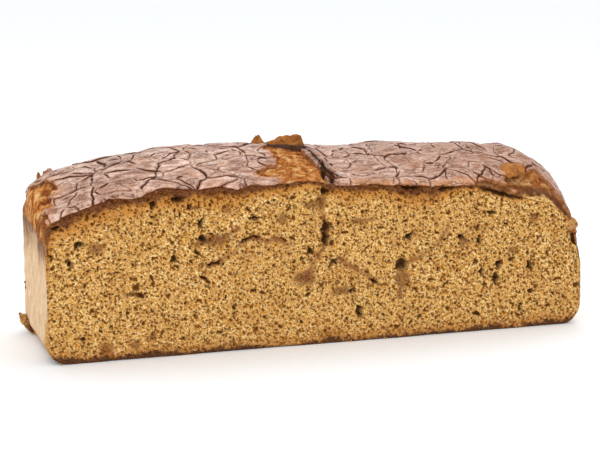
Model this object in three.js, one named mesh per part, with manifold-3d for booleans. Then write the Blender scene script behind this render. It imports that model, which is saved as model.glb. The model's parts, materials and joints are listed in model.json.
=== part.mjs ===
// Spice cake loaf, cut along its length: one solid of open crumb under a cracked and flaking crust.
// Millimetres, +Z up. X runs along the loaf, the cut face looks along -Y, and the base lies at z = 0.
import * as THREE from "three";
import { mergeVertices } from "three/addons/utils/BufferGeometryUtils.js";
import Module from "manifold-3d";

const wasm = await Module();
wasm.setup();

const { clamp, lerp, smoothstep, degToRad } = THREE.MathUtils;

// Driving dimensions of the loaf
const LENGTH = 265; // end to end
const DEPTH = 74; // cut face to back
const CROWN_HEIGHT = 88.6; // the highest line of the crust, at mid length
const CROWN_TILT = 0.022; // the loaf stands lower on its right
const CROWN_Y = 9; // the crown runs a little behind the middle
const CUT_HEIGHT = 79; // top of the cut face, left of the middle
const CUT_FALL = 5.6; // how much lower the cut face is on the right
const CUT_FALL_FROM = -15;
const CUT_FALL_TO = 75;
const LEFT_DROOP = 0.0024; // the crust bends down towards the left end, per mm squared
const LEFT_DROOP_FROM = -55;
const CUT_LEFT_DROOP = 0.0044; // and its front edge does so later and faster
const CUT_LEFT_DROOP_FROM = -75;
const RIGHT_SLOPE = 0.25; // the right end of the front edge sank in baking, per mm
const RIGHT_SLOPE_FROM = 75;
const RIM_FALL = 10; // from the crust down to the top of the back and end walls
const LEFT_CUT_RIM_FALL = 5; // the same at the left end of the cut face
const RIGHT_CUT_RIM_FALL = 36; // and at its right end, a large round corner
const LEFT_RIM_RUN = 4; // how far in from the left end the crust starts to turn down
const RIGHT_RIM_RUN = 20;
const BACK_CORNER = 5; // plan radius of the corners that the tin shaped
const CUT_CORNER = 1.5; // plan radius of the corners that the knife left
const FOOT_RADIUS = 6; // round lower edge along the back
const LEFT_FOOT = 9; // and along the ends
const RIGHT_FOOT = 11;
const RIGHT_LEAN = 0.045; // the right end leans in, per mm of height
const CUT_FOOT = 1.8; // uneven lower edge of the cut face
const CUT_FOOT_SIZE = 13;
const SWELL = 0.9; // low rise and fall of the baked surfaces
const SWELL_SIZE = 26;
const END_SWELL = 0.3;
const LEFT_REACH = 1.4; // the left end stands a little further out than the right one
const KNIFE_WAVE = 0.5; // how far the cut face wanders
const KNIFE_WAVE_SIZE = 36;

// Low hills and dips along the crown: where, how high and how long
const CROWN_WAVES = [
  { x: -134, rise: -5, run: 9 },
  { x: -82, rise: -1.2, run: 10 },
  { x: -30, rise: 1.8, run: 16 },
  { x: 22, rise: -1, run: 12 },
  { x: 48, rise: 1.6, run: 14 },
  { x: 102, rise: -1.7, run: 7 },
  { x: 125, rise: -5, run: 11 },
];

// The same along the front edge
const CUT_WAVES = [
  { x: -80, rise: 1.2, run: 7 },
  { x: -12, rise: 2, run: 9 },
  { x: 66, rise: 1, run: 8 },
];

// Crust
const CRUST_DEPTH = 1.5; // thickness of the crust where it has flaked away
const PLATE_LENGTH = 24; // usual size of the plates between the cracks
const PLATE_DEPTH = 19;
const PLATE_JITTER = 0.85;
const CRACK_HALF_WIDTH = 0.75;
const CRACK_DEPTH = 1.1;
const CRACK_WANDER = 2.4;
const CRACK_WANDER_SIZE = 8;
const CRACK_END_SHARE = 0.45; // a crack is narrower where it ends
const CRACK_FREE_RIM = 10; // the rim of the crust that has no cracks
const CRACK_STEP = 6.5; // length of one straight stretch of a crack
const SHORTEST_CRACK = 4;
const HEALED_SHARE = 0.22; // share of the plate borders that never opened

// Patches where the crust is gone: centre and half sizes
const PATCHES = [
  { x: -132, y: -10, halfLength: 8, halfDepth: 19 },
  { x: -15, y: -18, halfLength: 14, halfDepth: 23 },
  { x: 105, y: -31, halfLength: 12.5, halfDepth: 12 },
  { x: 84, y: -38, halfLength: 15, halfDepth: 5 },
];
const PATCH_CORNERS = 18;
const PATCH_RAGGEDNESS = 0.45;
const PATCH_RINGS = [0.3, 0.55, 0.8, 1]; // the floor of a patch follows the crumb at these shares of its size
const PATCH_CLEARANCE = 12; // how far over the crust the cut of a patch starts

// Curled flakes: root, the way they lean, width at the root and its share at the tip, reach, how much lower one
// side is, first lift and total curl in degrees
const FLAKES = [
  { x: -9.3, y: 11, heading: 55, width: 24, tip: 0.85, reach: 7, slant: 0.6, lift: 62, curl: 45 },
  { x: -19, y: 21, heading: 80, width: 13, tip: 0.4, reach: 7.4, slant: 0.3, lift: 55, curl: 50 },
  { x: 102, y: -15, heading: -112, width: 15, tip: 0.75, reach: 15, slant: 0.2, lift: 40, curl: -110 },
  { x: -125, y: 24, heading: 150, width: 8, tip: 0.4, reach: 5.2, slant: 0.3, lift: 50, curl: 30 },
];
const FLAKE_THICKNESS = 1.3;
const FLAKE_RAGGEDNESS = 0.12;
const FLAKE_FULL_FROM = -0.55; // a flake grows to its full reach between these shares of its width
const FLAKE_FULL_TO = 0.1;
const FLAKE_ROOT = CRUST_DEPTH + 0.8; // a flake's root is set in the crumb below the crust

// The fissure that splits the crust from the crown to the cut face
const FISSURE = [
  { x: 0, y: 5 },
  { x: -1, y: -17 },
  { x: 1.2, y: -31 },
  { x: 0, y: -40 },
];
const FISSURE_HALF_WIDTH = 2.6;
const FISSURE_DEPTH = 7.5;
const FISSURE_STEPS = 9;
const FISSURE_START_SHARE = 0.15; // it starts as a fine crack and opens towards the cut face

// Air holes in the cut face: along, up and radius
const LARGE_HOLES = [
  { x: -1.4, z: 54.6, r: 2.8 },
  { x: -0.4, z: 48.6, r: 2 },
  { x: 35.8, z: 32.6, r: 3 },
  { x: 39.7, z: 49.1, r: 2.2 },
  { x: 15.8, z: 13.6, r: 2.4 },
  { x: -111, z: 56.2, r: 2.2 },
  { x: -118, z: 54.6, r: 1.8 },
  { x: -116, z: 45.6, r: 1.7 },
  { x: -85, z: 70.6, r: 2 },
  { x: -50.5, z: 66.9, r: 2.8 },
  { x: 86, z: 27.6, r: 2 },
  { x: 66.5, z: 42.1, r: 1.8 },
];
const SMALL_HOLES = 30;
const SMALL_HOLE_RADIUS = 1.25;
const HOLE_SET_BACK = 0.5; // holes open through the cut face, with their middle just behind it
const HOLE_FREE_RIM = 8;
const LUMP_UNEVENNESS = 0.28;

// Gaps between crust and crumb along the right of the cut edge
const CRUST_GAPS = [
  { x: 40, halfLength: 5, halfHeight: 1.2 },
  { x: 59, halfLength: 4.5, halfHeight: 1.8 },
  { x: 86, halfLength: 12, halfHeight: 1.5 },
];
const GAP_BELOW_CRUST = 2.6;
const GAP_DEPTH = 3;

// Lumps that the tin left: a lobe on the right corner with a notch under it, and a scrap at the left foot
const LOBE = { x: 124.4, y: -32.5, z: 49.8, r: 4.8 };
const NOTCH = { x: 128.2, y: -36, z: 44, r: 4.2 };
const SCRAP = { x: -129.5, y: 24, z: 5, r: 4 };

// The finest detail that a join or a cut keeps
const FINEST = 0.02;

// Mesh of the loaf's own surface: stretches along, across and up
const STRETCHES_X = 42;
const STRETCHES_Y = 10;
const STRETCHES_Z = 9;

const END_CROWDING = 0.65; // how much closer the stretches lie near the ends
const FOOT_CROWDING = 1.4; // and near the base

// Each uneven feature has its own series of draws
const KIND = {
  swell: 1,
  end: 2,
  foot: 3,
  knife: 4,
  plateX: 5,
  plateY: 6,
  crackX: 7,
  crackY: 8,
  healed: 9,
  patch: 10,
  flake: 11,
  largeHole: 12,
  smallHole: 30,
  gap: 70,
  notch: 80,
  lobe: 81,
  scrap: 82,
};

const HALF = LENGTH / 2;
const FRONT = -DEPTH / 2;
const BACK = DEPTH / 2;

// A number from 0 to 1 that is always the same for the same place and kind
function draw(i, j = 0, kind = 0) {
  const value = Math.sin(i * 127.1 + j * 311.7 + kind * 74.7) * 43758.5453;
  return value - Math.floor(value);
}

// Smooth noise from -1 to 1 over a plane
function noise(u, v, kind) {
  const i = Math.floor(u);
  const j = Math.floor(v);
  const s = smoothstep(u - i, 0, 1);
  const t = smoothstep(v - j, 0, 1);
  const near = lerp(draw(i, j, kind), draw(i + 1, j, kind), s);
  const far = lerp(draw(i, j + 1, kind), draw(i + 1, j + 1, kind), s);
  return 2 * lerp(near, far, t) - 1;
}

// A round shoulder: flat at 0, falling ever faster to 1
function shoulder(share) {
  return 1 - Math.sqrt(1 - clamp(share, 0, 1) ** 2);
}

// Low hills and dips at a place along the loaf
function wavesAt(waves, x) {
  return waves.reduce((sum, wave) => sum + wave.rise * Math.exp(-(((x - wave.x) / wave.run) ** 2)), 0);
}

// Height of the crown line
function crownHeight(x) {
  const droop = LEFT_DROOP * Math.max(0, LEFT_DROOP_FROM - x) ** 2;
  return CROWN_HEIGHT - CROWN_TILT * x - droop + wavesAt(CROWN_WAVES, x);
}

// Height of the crust's front edge
function cutHeight(x) {
  const droop = CUT_LEFT_DROOP * Math.max(0, CUT_LEFT_DROOP_FROM - x) ** 2;
  const fall = CUT_FALL * smoothstep(x, CUT_FALL_FROM, CUT_FALL_TO);
  const slope = RIGHT_SLOPE * Math.max(0, x - RIGHT_SLOPE_FROM);
  return CUT_HEIGHT - droop - fall - slope + wavesAt(CUT_WAVES, x);
}

// Height of the crust over any point of the plan
function crustHeight(x, y) {
  const toCut = clamp((CROWN_Y - y) / (CROWN_Y - FRONT), 0, 1) ** 2;
  const toBack = Math.max(0, y - CROWN_Y) / (BACK - CROWN_Y);
  const toLeft = Math.max(0, LEFT_RIM_RUN - HALF - x) / LEFT_RIM_RUN;
  const toRight = Math.max(0, x + RIGHT_RIM_RUN - HALF) / RIGHT_RIM_RUN;
  const cutRimFall = x < 0 ? LEFT_CUT_RIM_FALL : RIGHT_CUT_RIM_FALL;
  const rim = lerp(RIM_FALL, cutRimFall, toCut) * shoulder(Math.hypot(toBack, toLeft, toRight));
  const swell = SWELL * noise(x / SWELL_SIZE, y / SWELL_SIZE, KIND.swell);
  return lerp(crownHeight(x), cutHeight(x), toCut) - rim + swell;
}

// Pulls a point of a square corner onto a round one
function roundCorner(x, y) {
  const radius = y > 0 ? BACK_CORNER : CUT_CORNER;
  const a = Math.max(0, Math.abs(x) - HALF + radius);
  const b = Math.max(0, Math.abs(y) - BACK + radius);
  if (a === 0 || b === 0) return [x, y];
  const pull = 1 - Math.max(a, b) / Math.hypot(a, b);
  return [x - Math.sign(x) * a * pull, y - Math.sign(y) * b * pull];
}

// How far the wall stands in at a height, above a round foot
function footInset(z, radius) {
  return radius * shoulder((radius - z) / radius);
}

// Moves a point of the unit box onto the loaf
function loafPoint(point) {
  const across = lerp(point.x, Math.sin(Math.PI * point.x) / 2, END_CROWDING);
  const [planX, planY] = roundCorner(LENGTH * across, DEPTH * point.y);
  const top = crustHeight(planX, planY);
  const z = top * (point.z + 0.5) ** FOOT_CROWDING;
  const onLeft = planX < 0;
  const slope = onLeft ? -LEFT_REACH : RIGHT_LEAN * z;
  const endFoot = footInset(z, onLeft ? LEFT_FOOT : RIGHT_FOOT);
  const endInset = endFoot + slope + END_SWELL * (1 + noise(planY / SWELL_SIZE, z / SWELL_SIZE, KIND.end));
  const cutFoot = CUT_FOOT * (0.6 + 0.4 * noise(planX / CUT_FOOT_SIZE, 0, KIND.foot));
  const wave = KNIFE_WAVE * (1 + noise(planX / KNIFE_WAVE_SIZE, z / KNIFE_WAVE_SIZE, KIND.knife));
  const sideInset = planY > 0 ? footInset(z, FOOT_RADIUS) : footInset(z, cutFoot) + wave;
  return new THREE.Vector3(planX * (1 - endInset / HALF), planY * (1 - sideInset / BACK), z);
}

// Replaces every vertex of a geometry by what a function makes of it
function reshape(geometry, place) {
  const spots = geometry.attributes.position;
  const point = new THREE.Vector3();
  for (let i = 0; i < spots.count; i++) {
    point.fromBufferAttribute(spots, i);
    const moved = place(point);
    spots.setXYZ(i, moved.x, moved.y, moved.z);
  }
  return geometry;
}

// A closed geometry as a solid that can be joined and cut
function solid(geometry) {
  geometry.deleteAttribute("normal");
  geometry.deleteAttribute("uv");
  const merged = mergeVertices(geometry, 1e-4);
  return new wasm.Manifold(
    new wasm.Mesh({
      numProp: 3,
      vertProperties: merged.attributes.position.array,
      triVerts: new Uint32Array(merged.index.array),
      tolerance: FINEST,
    }),
  );
}

function loaf() {
  const box = new THREE.BoxGeometry(1, 1, 1, STRETCHES_X, STRETCHES_Y, STRETCHES_Z);
  return solid(reshape(box, loafPoint));
}

// A lump or hole: a small faceted ball with uneven radii
function lump(place, radii, kind, detail = 1) {
  const sphere = new THREE.IcosahedronGeometry(1, detail);
  return solid(
    reshape(sphere, (p) => {
      const uneven = 1 + LUMP_UNEVENNESS * noise(2 * p.x + p.z, 2 * p.y - p.z, kind);
      return p.multiply(radii).multiplyScalar(uneven).add(place);
    }),
  );
}

function ball({ x, y, z, r }, kind, detail) {
  return lump(new THREE.Vector3(x, y, z), new THREE.Vector3(r, r, r), kind, detail);
}

// A V-shaped groove in the crust along a path of plan points, deepest and widest where the share is 1
function groove(path, halfWidth, depth, shareAt) {
  const steps = path.length - 1;
  const bar = new THREE.CylinderGeometry(1, 1, 1, 4, steps);
  return solid(
    reshape(bar, (p) => {
      const i = Math.round((p.y + 0.5) * steps);
      const before = path[Math.max(0, i - 1)];
      const after = path[Math.min(steps, i + 1)];
      const span = Math.hypot(after.x - before.x, after.y - before.y);
      const side = p.x * halfWidth * shareAt(i / steps);
      const x = path[i].x + (side * (after.y - before.y)) / span;
      const y = path[i].y - (side * (after.x - before.x)) / span;
      return new THREE.Vector3(x, y, crustHeight(path[i].x, path[i].y) + p.z * depth * shareAt(i / steps));
    }),
  );
}

// Centres of the crust's plates: a grid with each point moved by a draw
function plateCentres() {
  const centres = [];
  const columns = Math.ceil(HALF / PLATE_LENGTH);
  const rows = Math.ceil(BACK / PLATE_DEPTH);
  for (let i = -columns; i <= columns; i++) {
    for (let j = -rows; j <= rows; j++) {
      const x = (i + PLATE_JITTER * (draw(i, j, KIND.plateX) - 0.5)) * PLATE_LENGTH;
      const y = (j + PLATE_JITTER * (draw(i, j, KIND.plateY) - 0.5)) * PLATE_DEPTH;
      centres.push(new THREE.Vector2(x, y));
    }
  }
  return centres;
}

// The border of two plates: the stretch of their midline that lies nearer to no other plate
function border(a, b, centres) {
  const middle = a.clone().add(b).multiplyScalar(0.5);
  const along = new THREE.Vector2(a.y - b.y, b.x - a.x).normalize();
  let from = -2 * PLATE_LENGTH;
  let to = 2 * PLATE_LENGTH;
  for (const c of centres) {
    const toward = c.clone().sub(a);
    const rate = along.dot(toward);
    if (c === a || c === b || rate === 0) continue;
    const limit = ((c.lengthSq() - a.lengthSq()) / 2 - middle.dot(toward)) / rate;
    if (rate > 0) to = Math.min(to, limit);
    else from = Math.max(from, limit);
  }
  return { middle, along, from, to };
}

// Plan points along a border, wandering as a crack does
function crackPath({ middle, along, from, to }) {
  const steps = Math.max(2, Math.round((to - from) / CRACK_STEP));
  return Array.from({ length: steps + 1 }, (_, i) => {
    const spot = middle.clone().addScaledVector(along, lerp(from, to, i / steps));
    return {
      x: spot.x + CRACK_WANDER * noise(spot.x / CRACK_WANDER_SIZE, spot.y / CRACK_WANDER_SIZE, KIND.crackX),
      y: spot.y + CRACK_WANDER * noise(spot.x / CRACK_WANDER_SIZE, spot.y / CRACK_WANDER_SIZE, KIND.crackY),
    };
  });
}

function cracks() {
  const centres = plateCentres();
  const inCrust = ({ x, y }) => Math.abs(x) < HALF - CRACK_FREE_RIM && y < BACK - CRACK_FREE_RIM;
  const made = [];
  centres.forEach((a, i) =>
    centres.slice(i + 1).forEach((b, j) => {
      const edge = border(a, b, centres);
      if (edge.to - edge.from < SHORTEST_CRACK || draw(i, j, KIND.healed) < HEALED_SHARE) return;
      const path = crackPath(edge).filter(inCrust);
      if (path.length < 3) return;
      const shareAt = (s) => lerp(CRACK_END_SHARE, 1, Math.sin(Math.PI * s));
      made.push(groove(path, CRACK_HALF_WIDTH, CRACK_DEPTH, shareAt));
    }),
  );
  return made;
}

// The space over a ragged patch of the crust, down to the crumb below
function patchCut(patch, index) {
  const profile = [
    new THREE.Vector2(0, 0),
    ...PATCH_RINGS.map((share) => new THREE.Vector2(share, 0)),
    ...PATCH_RINGS.map((share) => new THREE.Vector2(share, 1)).reverse(),
    new THREE.Vector2(0, 1),
  ];
  const disc = new THREE.LatheGeometry(profile, PATCH_CORNERS);
  return solid(
    reshape(disc, (p) => {
      const angle = Math.atan2(p.x, p.z);
      const corner = Math.round((angle / (2 * Math.PI)) * PATCH_CORNERS + PATCH_CORNERS) % PATCH_CORNERS;
      const ragged = 1 + PATCH_RAGGEDNESS * (draw(corner, index, KIND.patch) - 0.5);
      const x = patch.x + patch.halfLength * ragged * p.z;
      const y = patch.y + patch.halfDepth * ragged * p.x;
      return new THREE.Vector3(x, y, crustHeight(x, y) + lerp(-CRUST_DEPTH, PATCH_CLEARANCE, p.y));
    }),
  );
}

// A flake of crust that bends up from its root
function flake({ x, y, heading, width, tip, reach, slant, lift, curl }, index) {
  const plate = new THREE.BoxGeometry(1, 1, 1, 6, 5, 1);
  const out = new THREE.Vector2(Math.cos(degToRad(heading)), Math.sin(degToRad(heading)));
  const first = degToRad(lift);
  const bend = degToRad(curl);
  const root = crustHeight(x, y) - FLAKE_ROOT;
  return solid(
    reshape(plate, (p) => {
      const share = p.y + 0.5;
      const angle = first + bend * share;
      const ragged = 1 + FLAKE_RAGGEDNESS * noise(3 * p.x, index, KIND.flake) * share;
      const grown = lerp(1 - slant, 1, smoothstep(p.x, FLAKE_FULL_FROM, FLAKE_FULL_TO));
      const radius = (reach * ragged * grown) / bend;
      const thickness = p.z * FLAKE_THICKNESS;
      const forward = radius * (Math.sin(angle) - Math.sin(first)) - thickness * Math.sin(angle);
      const rise = radius * (Math.cos(first) - Math.cos(angle)) + thickness * Math.cos(angle);
      const side = p.x * width * lerp(1, tip, share);
      return new THREE.Vector3(
        x + forward * out.x + side * out.y,
        y + forward * out.y - side * out.x,
        root + rise,
      );
    }),
  );
}

function largeHoles() {
  const y = FRONT + HOLE_SET_BACK;
  return LARGE_HOLES.map(({ x, z, r }, i) => ball({ x, y, z, r }, KIND.largeHole + i));
}

// Small holes anywhere in the cut face
function smallHoles() {
  return Array.from({ length: SMALL_HOLES }, (_, i) => {
    const along = (i + draw(i, 0, KIND.smallHole)) / SMALL_HOLES;
    const x = lerp(-HALF + HOLE_FREE_RIM, HALF - HOLE_FREE_RIM, along);
    const z = lerp(HOLE_FREE_RIM, cutHeight(x) - HOLE_FREE_RIM, draw(i, 1, KIND.smallHole));
    const r = SMALL_HOLE_RADIUS * lerp(0.7, 1.3, draw(i, 2, KIND.smallHole));
    return ball({ x, y: FRONT + HOLE_SET_BACK, z, r }, KIND.smallHole + i, 0);
  });
}

function crustGaps() {
  return CRUST_GAPS.map(({ x, halfLength, halfHeight }, i) =>
    lump(
      new THREE.Vector3(x, FRONT, cutHeight(x) - GAP_BELOW_CRUST),
      new THREE.Vector3(halfLength, GAP_DEPTH, halfHeight),
      KIND.gap + i,
    ),
  );
}

function fissure() {
  const curve = new THREE.CatmullRomCurve3(FISSURE.map(({ x, y }) => new THREE.Vector3(x, y, 0)));
  const points = curve.getSpacedPoints(FISSURE_STEPS);
  return groove(points, FISSURE_HALF_WIDTH, FISSURE_DEPTH, (s) => lerp(FISSURE_START_SHARE, 1, s * s));
}

function cakeSolid() {
  const cuts = [
    ...PATCHES.map(patchCut),
    ...cracks(),
    ...largeHoles(),
    ...smallHoles(),
    ...crustGaps(),
    fissure(),
    ball(NOTCH, KIND.notch),
  ];
  const additions = [...FLAKES.map(flake), ball(LOBE, KIND.lobe), ball(SCRAP, KIND.scrap)];
  const carved = cuts.reduce((cake, cut) => cake.subtract(cut), loaf());
  return additions.reduce((cake, addition) => cake.add(addition), carved);
}

// A solid turned back into a geometry: corners closer than the finest detail become one
function geometryOf(cake) {
  const { vertProperties, triVerts } = cake.getMesh();
  const geometry = new THREE.BufferGeometry();
  geometry.setAttribute("position", new THREE.BufferAttribute(vertProperties, 3));
  geometry.setIndex(new THREE.BufferAttribute(triVerts, 1));
  const welded = mergeVertices(geometry, FINEST);
  const corners = welded.index.array;
  const kept = [];
  for (let i = 0; i < corners.length; i += 3) {
    const triangle = corners.slice(i, i + 3);
    if (new Set(triangle).size === 3) kept.push(...triangle);
  }
  welded.setIndex(kept);
  welded.computeVertexNormals();
  return welded;
}

const crumbFinish = new THREE.MeshStandardMaterial({ color: 0xbe8e51, roughness: 0.9, metalness: 0 });
const cake = new THREE.Mesh(geometryOf(cakeSolid()), crumbFinish);
cake.name = "spice_cake_loaf";

const group = new THREE.Group();
group.add(cake);

export default group;
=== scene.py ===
# %% [markdown]
# A spice cake loaf, cut along its length. The CAD solid gives its form, size and place, and this scene
# dresses that form: open crumb on the cut face, a thin crust that cracked into plates, curled flakes
# where the crust tore, and a few loose crumbs. The first cell loads the solid.

# %% The frame
import json
import math

import bmesh
import bpy
import numpy as np
from mathutils import Matrix, Vector

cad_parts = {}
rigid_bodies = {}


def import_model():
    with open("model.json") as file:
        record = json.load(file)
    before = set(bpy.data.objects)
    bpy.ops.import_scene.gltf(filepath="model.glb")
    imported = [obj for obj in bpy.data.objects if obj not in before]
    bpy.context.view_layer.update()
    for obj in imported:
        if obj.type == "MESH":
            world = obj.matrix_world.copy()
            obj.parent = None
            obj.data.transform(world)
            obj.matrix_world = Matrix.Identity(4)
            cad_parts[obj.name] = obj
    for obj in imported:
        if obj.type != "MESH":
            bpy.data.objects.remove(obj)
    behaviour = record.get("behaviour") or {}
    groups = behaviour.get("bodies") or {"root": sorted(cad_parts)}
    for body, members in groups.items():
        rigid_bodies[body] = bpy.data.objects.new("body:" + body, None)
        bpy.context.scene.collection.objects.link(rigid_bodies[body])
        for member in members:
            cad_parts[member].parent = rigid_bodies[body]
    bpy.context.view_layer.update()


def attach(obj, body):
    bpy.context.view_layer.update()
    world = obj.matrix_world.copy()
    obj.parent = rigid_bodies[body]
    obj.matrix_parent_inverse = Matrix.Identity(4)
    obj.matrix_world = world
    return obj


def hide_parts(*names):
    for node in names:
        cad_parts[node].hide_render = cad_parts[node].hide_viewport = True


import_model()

MM = 0.001  # the cake is measured in millimetres, and Blender's unit is the metre
LOAF = "spice_cake_loaf"

# %% [markdown]
# Baking is uneven, but a script has to make the same cake every time. A draw is a number from 0 to 1
# that depends only on its place and on which feature asks for it. Blending the draws of a square grid
# gives smooth noise, and adding finer and finer noise gives roughness. Blender has noise of its own, but
# these short functions match the ones that shaped the solid, so its cracks and waves come back here.

# %% Draws and noise
def draw(i, j=0, kind=0):
    value = np.sin(i * 127.1 + j * 311.7 + kind * 74.7) * 43758.5453
    return value - np.floor(value)


def lerp(a, b, share):
    return a + (b - a) * share


def smoothstep(value, low, high):
    share = np.clip((value - low) / (high - low), 0, 1)
    return share * share * (3 - 2 * share)


def noise(u, v, kind):
    i, j = np.floor(u), np.floor(v)
    s, t = smoothstep(u - i, 0, 1), smoothstep(v - j, 0, 1)
    near = lerp(draw(i, j, kind), draw(i + 1, j, kind), s)
    far = lerp(draw(i, j + 1, kind), draw(i + 1, j + 1, kind), s)
    return 2 * lerp(near, far, t) - 1


def roughness(u, v, kind, octaves=3):
    layers = [noise(u * 2**k, v * 2**k, kind + k) / 2**k for k in range(octaves)]
    return sum(layers)


print("first draws:", [round(float(draw(i, 0, 1)), 3) for i in range(4)])

# %% [markdown]
# The form of the loaf is the solid's own: a crown that runs a little behind the middle, a lower edge
# where the knife went through, and shoulders that turn down to the walls the tin shaped. It could be
# read off the solid's triangles, but those are coarse. The same few sizes give a smooth surface at any
# fineness, for the crumb below the crust and for the crust itself.

# %% Sizes of the loaf
LENGTH, DEPTH = 265.0, 74.0  # end to end, and cut face to back
HALF, FRONT, BACK = LENGTH / 2, -DEPTH / 2, DEPTH / 2
CROWN_HEIGHT, CROWN_TILT, CROWN_Y = 88.6, 0.022, 9.0  # the highest line of the crust
CUT_HEIGHT, CUT_FALL, CUT_FALL_FROM, CUT_FALL_TO = 79.0, 5.6, -15.0, 75.0  # of the cut face, lower at right
LEFT_DROOP, LEFT_DROOP_FROM = 0.0024, -55.0  # the crust bends down to the left end, per mm squared
CUT_LEFT_DROOP, CUT_LEFT_DROOP_FROM = 0.0044, -75.0  # and its front edge does so later and faster
RIGHT_SLOPE, RIGHT_SLOPE_FROM = 0.25, 75.0  # the right end of the front edge sank in baking
RIM_FALL, LEFT_CUT_RIM_FALL, RIGHT_CUT_RIM_FALL = 10.0, 5.0, 36.0  # from the crust down to the walls
LEFT_RIM_RUN, RIGHT_RIM_RUN = 4.0, 20.0  # how far in from the ends the crust starts to turn down
BACK_CORNER, CUT_CORNER = 5.0, 1.5  # radii in plan, of the tin's corners and of the knife's
FOOT_RADIUS, LEFT_FOOT, RIGHT_FOOT = 6.0, 9.0, 11.0  # round lower edges
RIGHT_LEAN, LEFT_REACH = 0.045, 1.4  # the right end leans in, and the left one stands further out
CUT_FOOT, CUT_FOOT_SIZE = 1.8, 13.0  # uneven lower edge of the cut face
SWELL, SWELL_SIZE, END_SWELL = 0.9, 26.0, 0.3  # low rise and fall of the baked surfaces
KNIFE_WAVE, KNIFE_WAVE_SIZE = 0.5, 36.0  # how far the cut face wanders
CROWN_WAVES = [  # x, rise, run
    (-134, -5, 9), (-82, -1.2, 10), (-30, 1.8, 16), (22, -1, 12), (48, 1.6, 14), (102, -1.7, 7),
    (125, -5, 11),
]
CUT_WAVES = [(-80, 1.2, 7), (-12, 2, 9), (66, 1, 8)]
CRUST_DEPTH = 1.5  # thickness of the crust
print("loaf:", LENGTH, "by", DEPTH, "by about", CROWN_HEIGHT, "mm")


# %% Form of the loaf
def shoulder(share):
    return 1 - np.sqrt(1 - np.clip(share, 0, 1) ** 2)


def waves_at(waves, x):
    return sum(rise * np.exp(-(((x - at) / run) ** 2)) for at, rise, run in waves)


def crown_height(x):
    droop = LEFT_DROOP * np.maximum(0, LEFT_DROOP_FROM - x) ** 2
    return CROWN_HEIGHT - CROWN_TILT * x - droop + waves_at(CROWN_WAVES, x)


def cut_height(x):
    droop = CUT_LEFT_DROOP * np.maximum(0, CUT_LEFT_DROOP_FROM - x) ** 2
    fall = CUT_FALL * smoothstep(x, CUT_FALL_FROM, CUT_FALL_TO)
    slope = RIGHT_SLOPE * np.maximum(0, x - RIGHT_SLOPE_FROM)
    return CUT_HEIGHT - droop - fall - slope + waves_at(CUT_WAVES, x)


def rim_share(x, y):
    to_back = np.maximum(0, y - CROWN_Y) / (BACK - CROWN_Y)
    to_left = np.maximum(0, LEFT_RIM_RUN - HALF - x) / LEFT_RIM_RUN
    to_right = np.maximum(0, x + RIGHT_RIM_RUN - HALF) / RIGHT_RIM_RUN
    return np.sqrt(to_back**2 + to_left**2 + to_right**2)


def crust_height(x, y):
    to_cut = np.clip((CROWN_Y - y) / (CROWN_Y - FRONT), 0, 1) ** 2
    cut_rim_fall = np.where(x < 0, LEFT_CUT_RIM_FALL, RIGHT_CUT_RIM_FALL)
    rim = lerp(RIM_FALL, cut_rim_fall, to_cut) * shoulder(rim_share(x, y))
    swell = SWELL * noise(x / SWELL_SIZE, y / SWELL_SIZE, 1)
    return lerp(crown_height(x), cut_height(x), to_cut) - rim + swell


def foot_inset(z, radius):
    return radius * shoulder((radius - z) / radius)


def knife_wave(x, z):
    return KNIFE_WAVE * (1 + noise(x / KNIFE_WAVE_SIZE, z / KNIFE_WAVE_SIZE, 4))


def round_corner(x, y):
    radius = np.where(y > 0, BACK_CORNER, CUT_CORNER)
    a = np.maximum(0, np.abs(x) - HALF + radius)
    b = np.maximum(0, np.abs(y) - BACK + radius)
    pull = np.where((a > 0) & (b > 0), 1 - np.maximum(a, b) / np.maximum(np.hypot(a, b), 1e-9), 0)
    return x - np.sign(x) * a * pull, y - np.sign(y) * b * pull


def lean_in(x, y, z):
    """Draws a point of the plan in at its height, by the foot, the leaning ends and the knife's waves."""
    slope = np.where(x < 0, -LEFT_REACH, RIGHT_LEAN * z)
    end_foot = np.where(x < 0, foot_inset(z, LEFT_FOOT), foot_inset(z, RIGHT_FOOT))
    end_inset = end_foot + slope + END_SWELL * (1 + noise(y / SWELL_SIZE, z / SWELL_SIZE, 2))
    cut_foot = CUT_FOOT * (0.6 + 0.4 * noise(x / CUT_FOOT_SIZE, 0 * x, 3))
    cut_inset = foot_inset(z, cut_foot) + knife_wave(x, z)
    side_inset = np.where(y > 0, foot_inset(z, FOOT_RADIUS), cut_inset)
    return np.stack([x * (1 - end_inset / HALF), y * (1 - side_inset / BACK), z], axis=1)


def loaf_points(box):
    x, y = round_corner(LENGTH * box[:, 0], DEPTH * box[:, 1])
    return lean_in(x, y, (crust_height(x, y) - CRUST_DEPTH) * (box[:, 2] + 0.5))


print("crown at mid length:", round(float(crust_height(np.zeros(1), np.full(1, CROWN_Y))[0]), 1), "mm high")

# %% [markdown]
# Where the crust is missing, torn crumb shows. A few ragged patches lost their crust, and a fissure
# splits it from the crown to the cut face. Both are described as distances in the plan of the loaf, so
# that the crumb can sink there and the crust can stop there. The end patches are rounded polygons of drawn
# radii, like the solid's. The middle one has an outline of its own, because a tongue of it runs behind a
# strip of crust that stayed on the edge. Finer roughness tears all of them.

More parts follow.
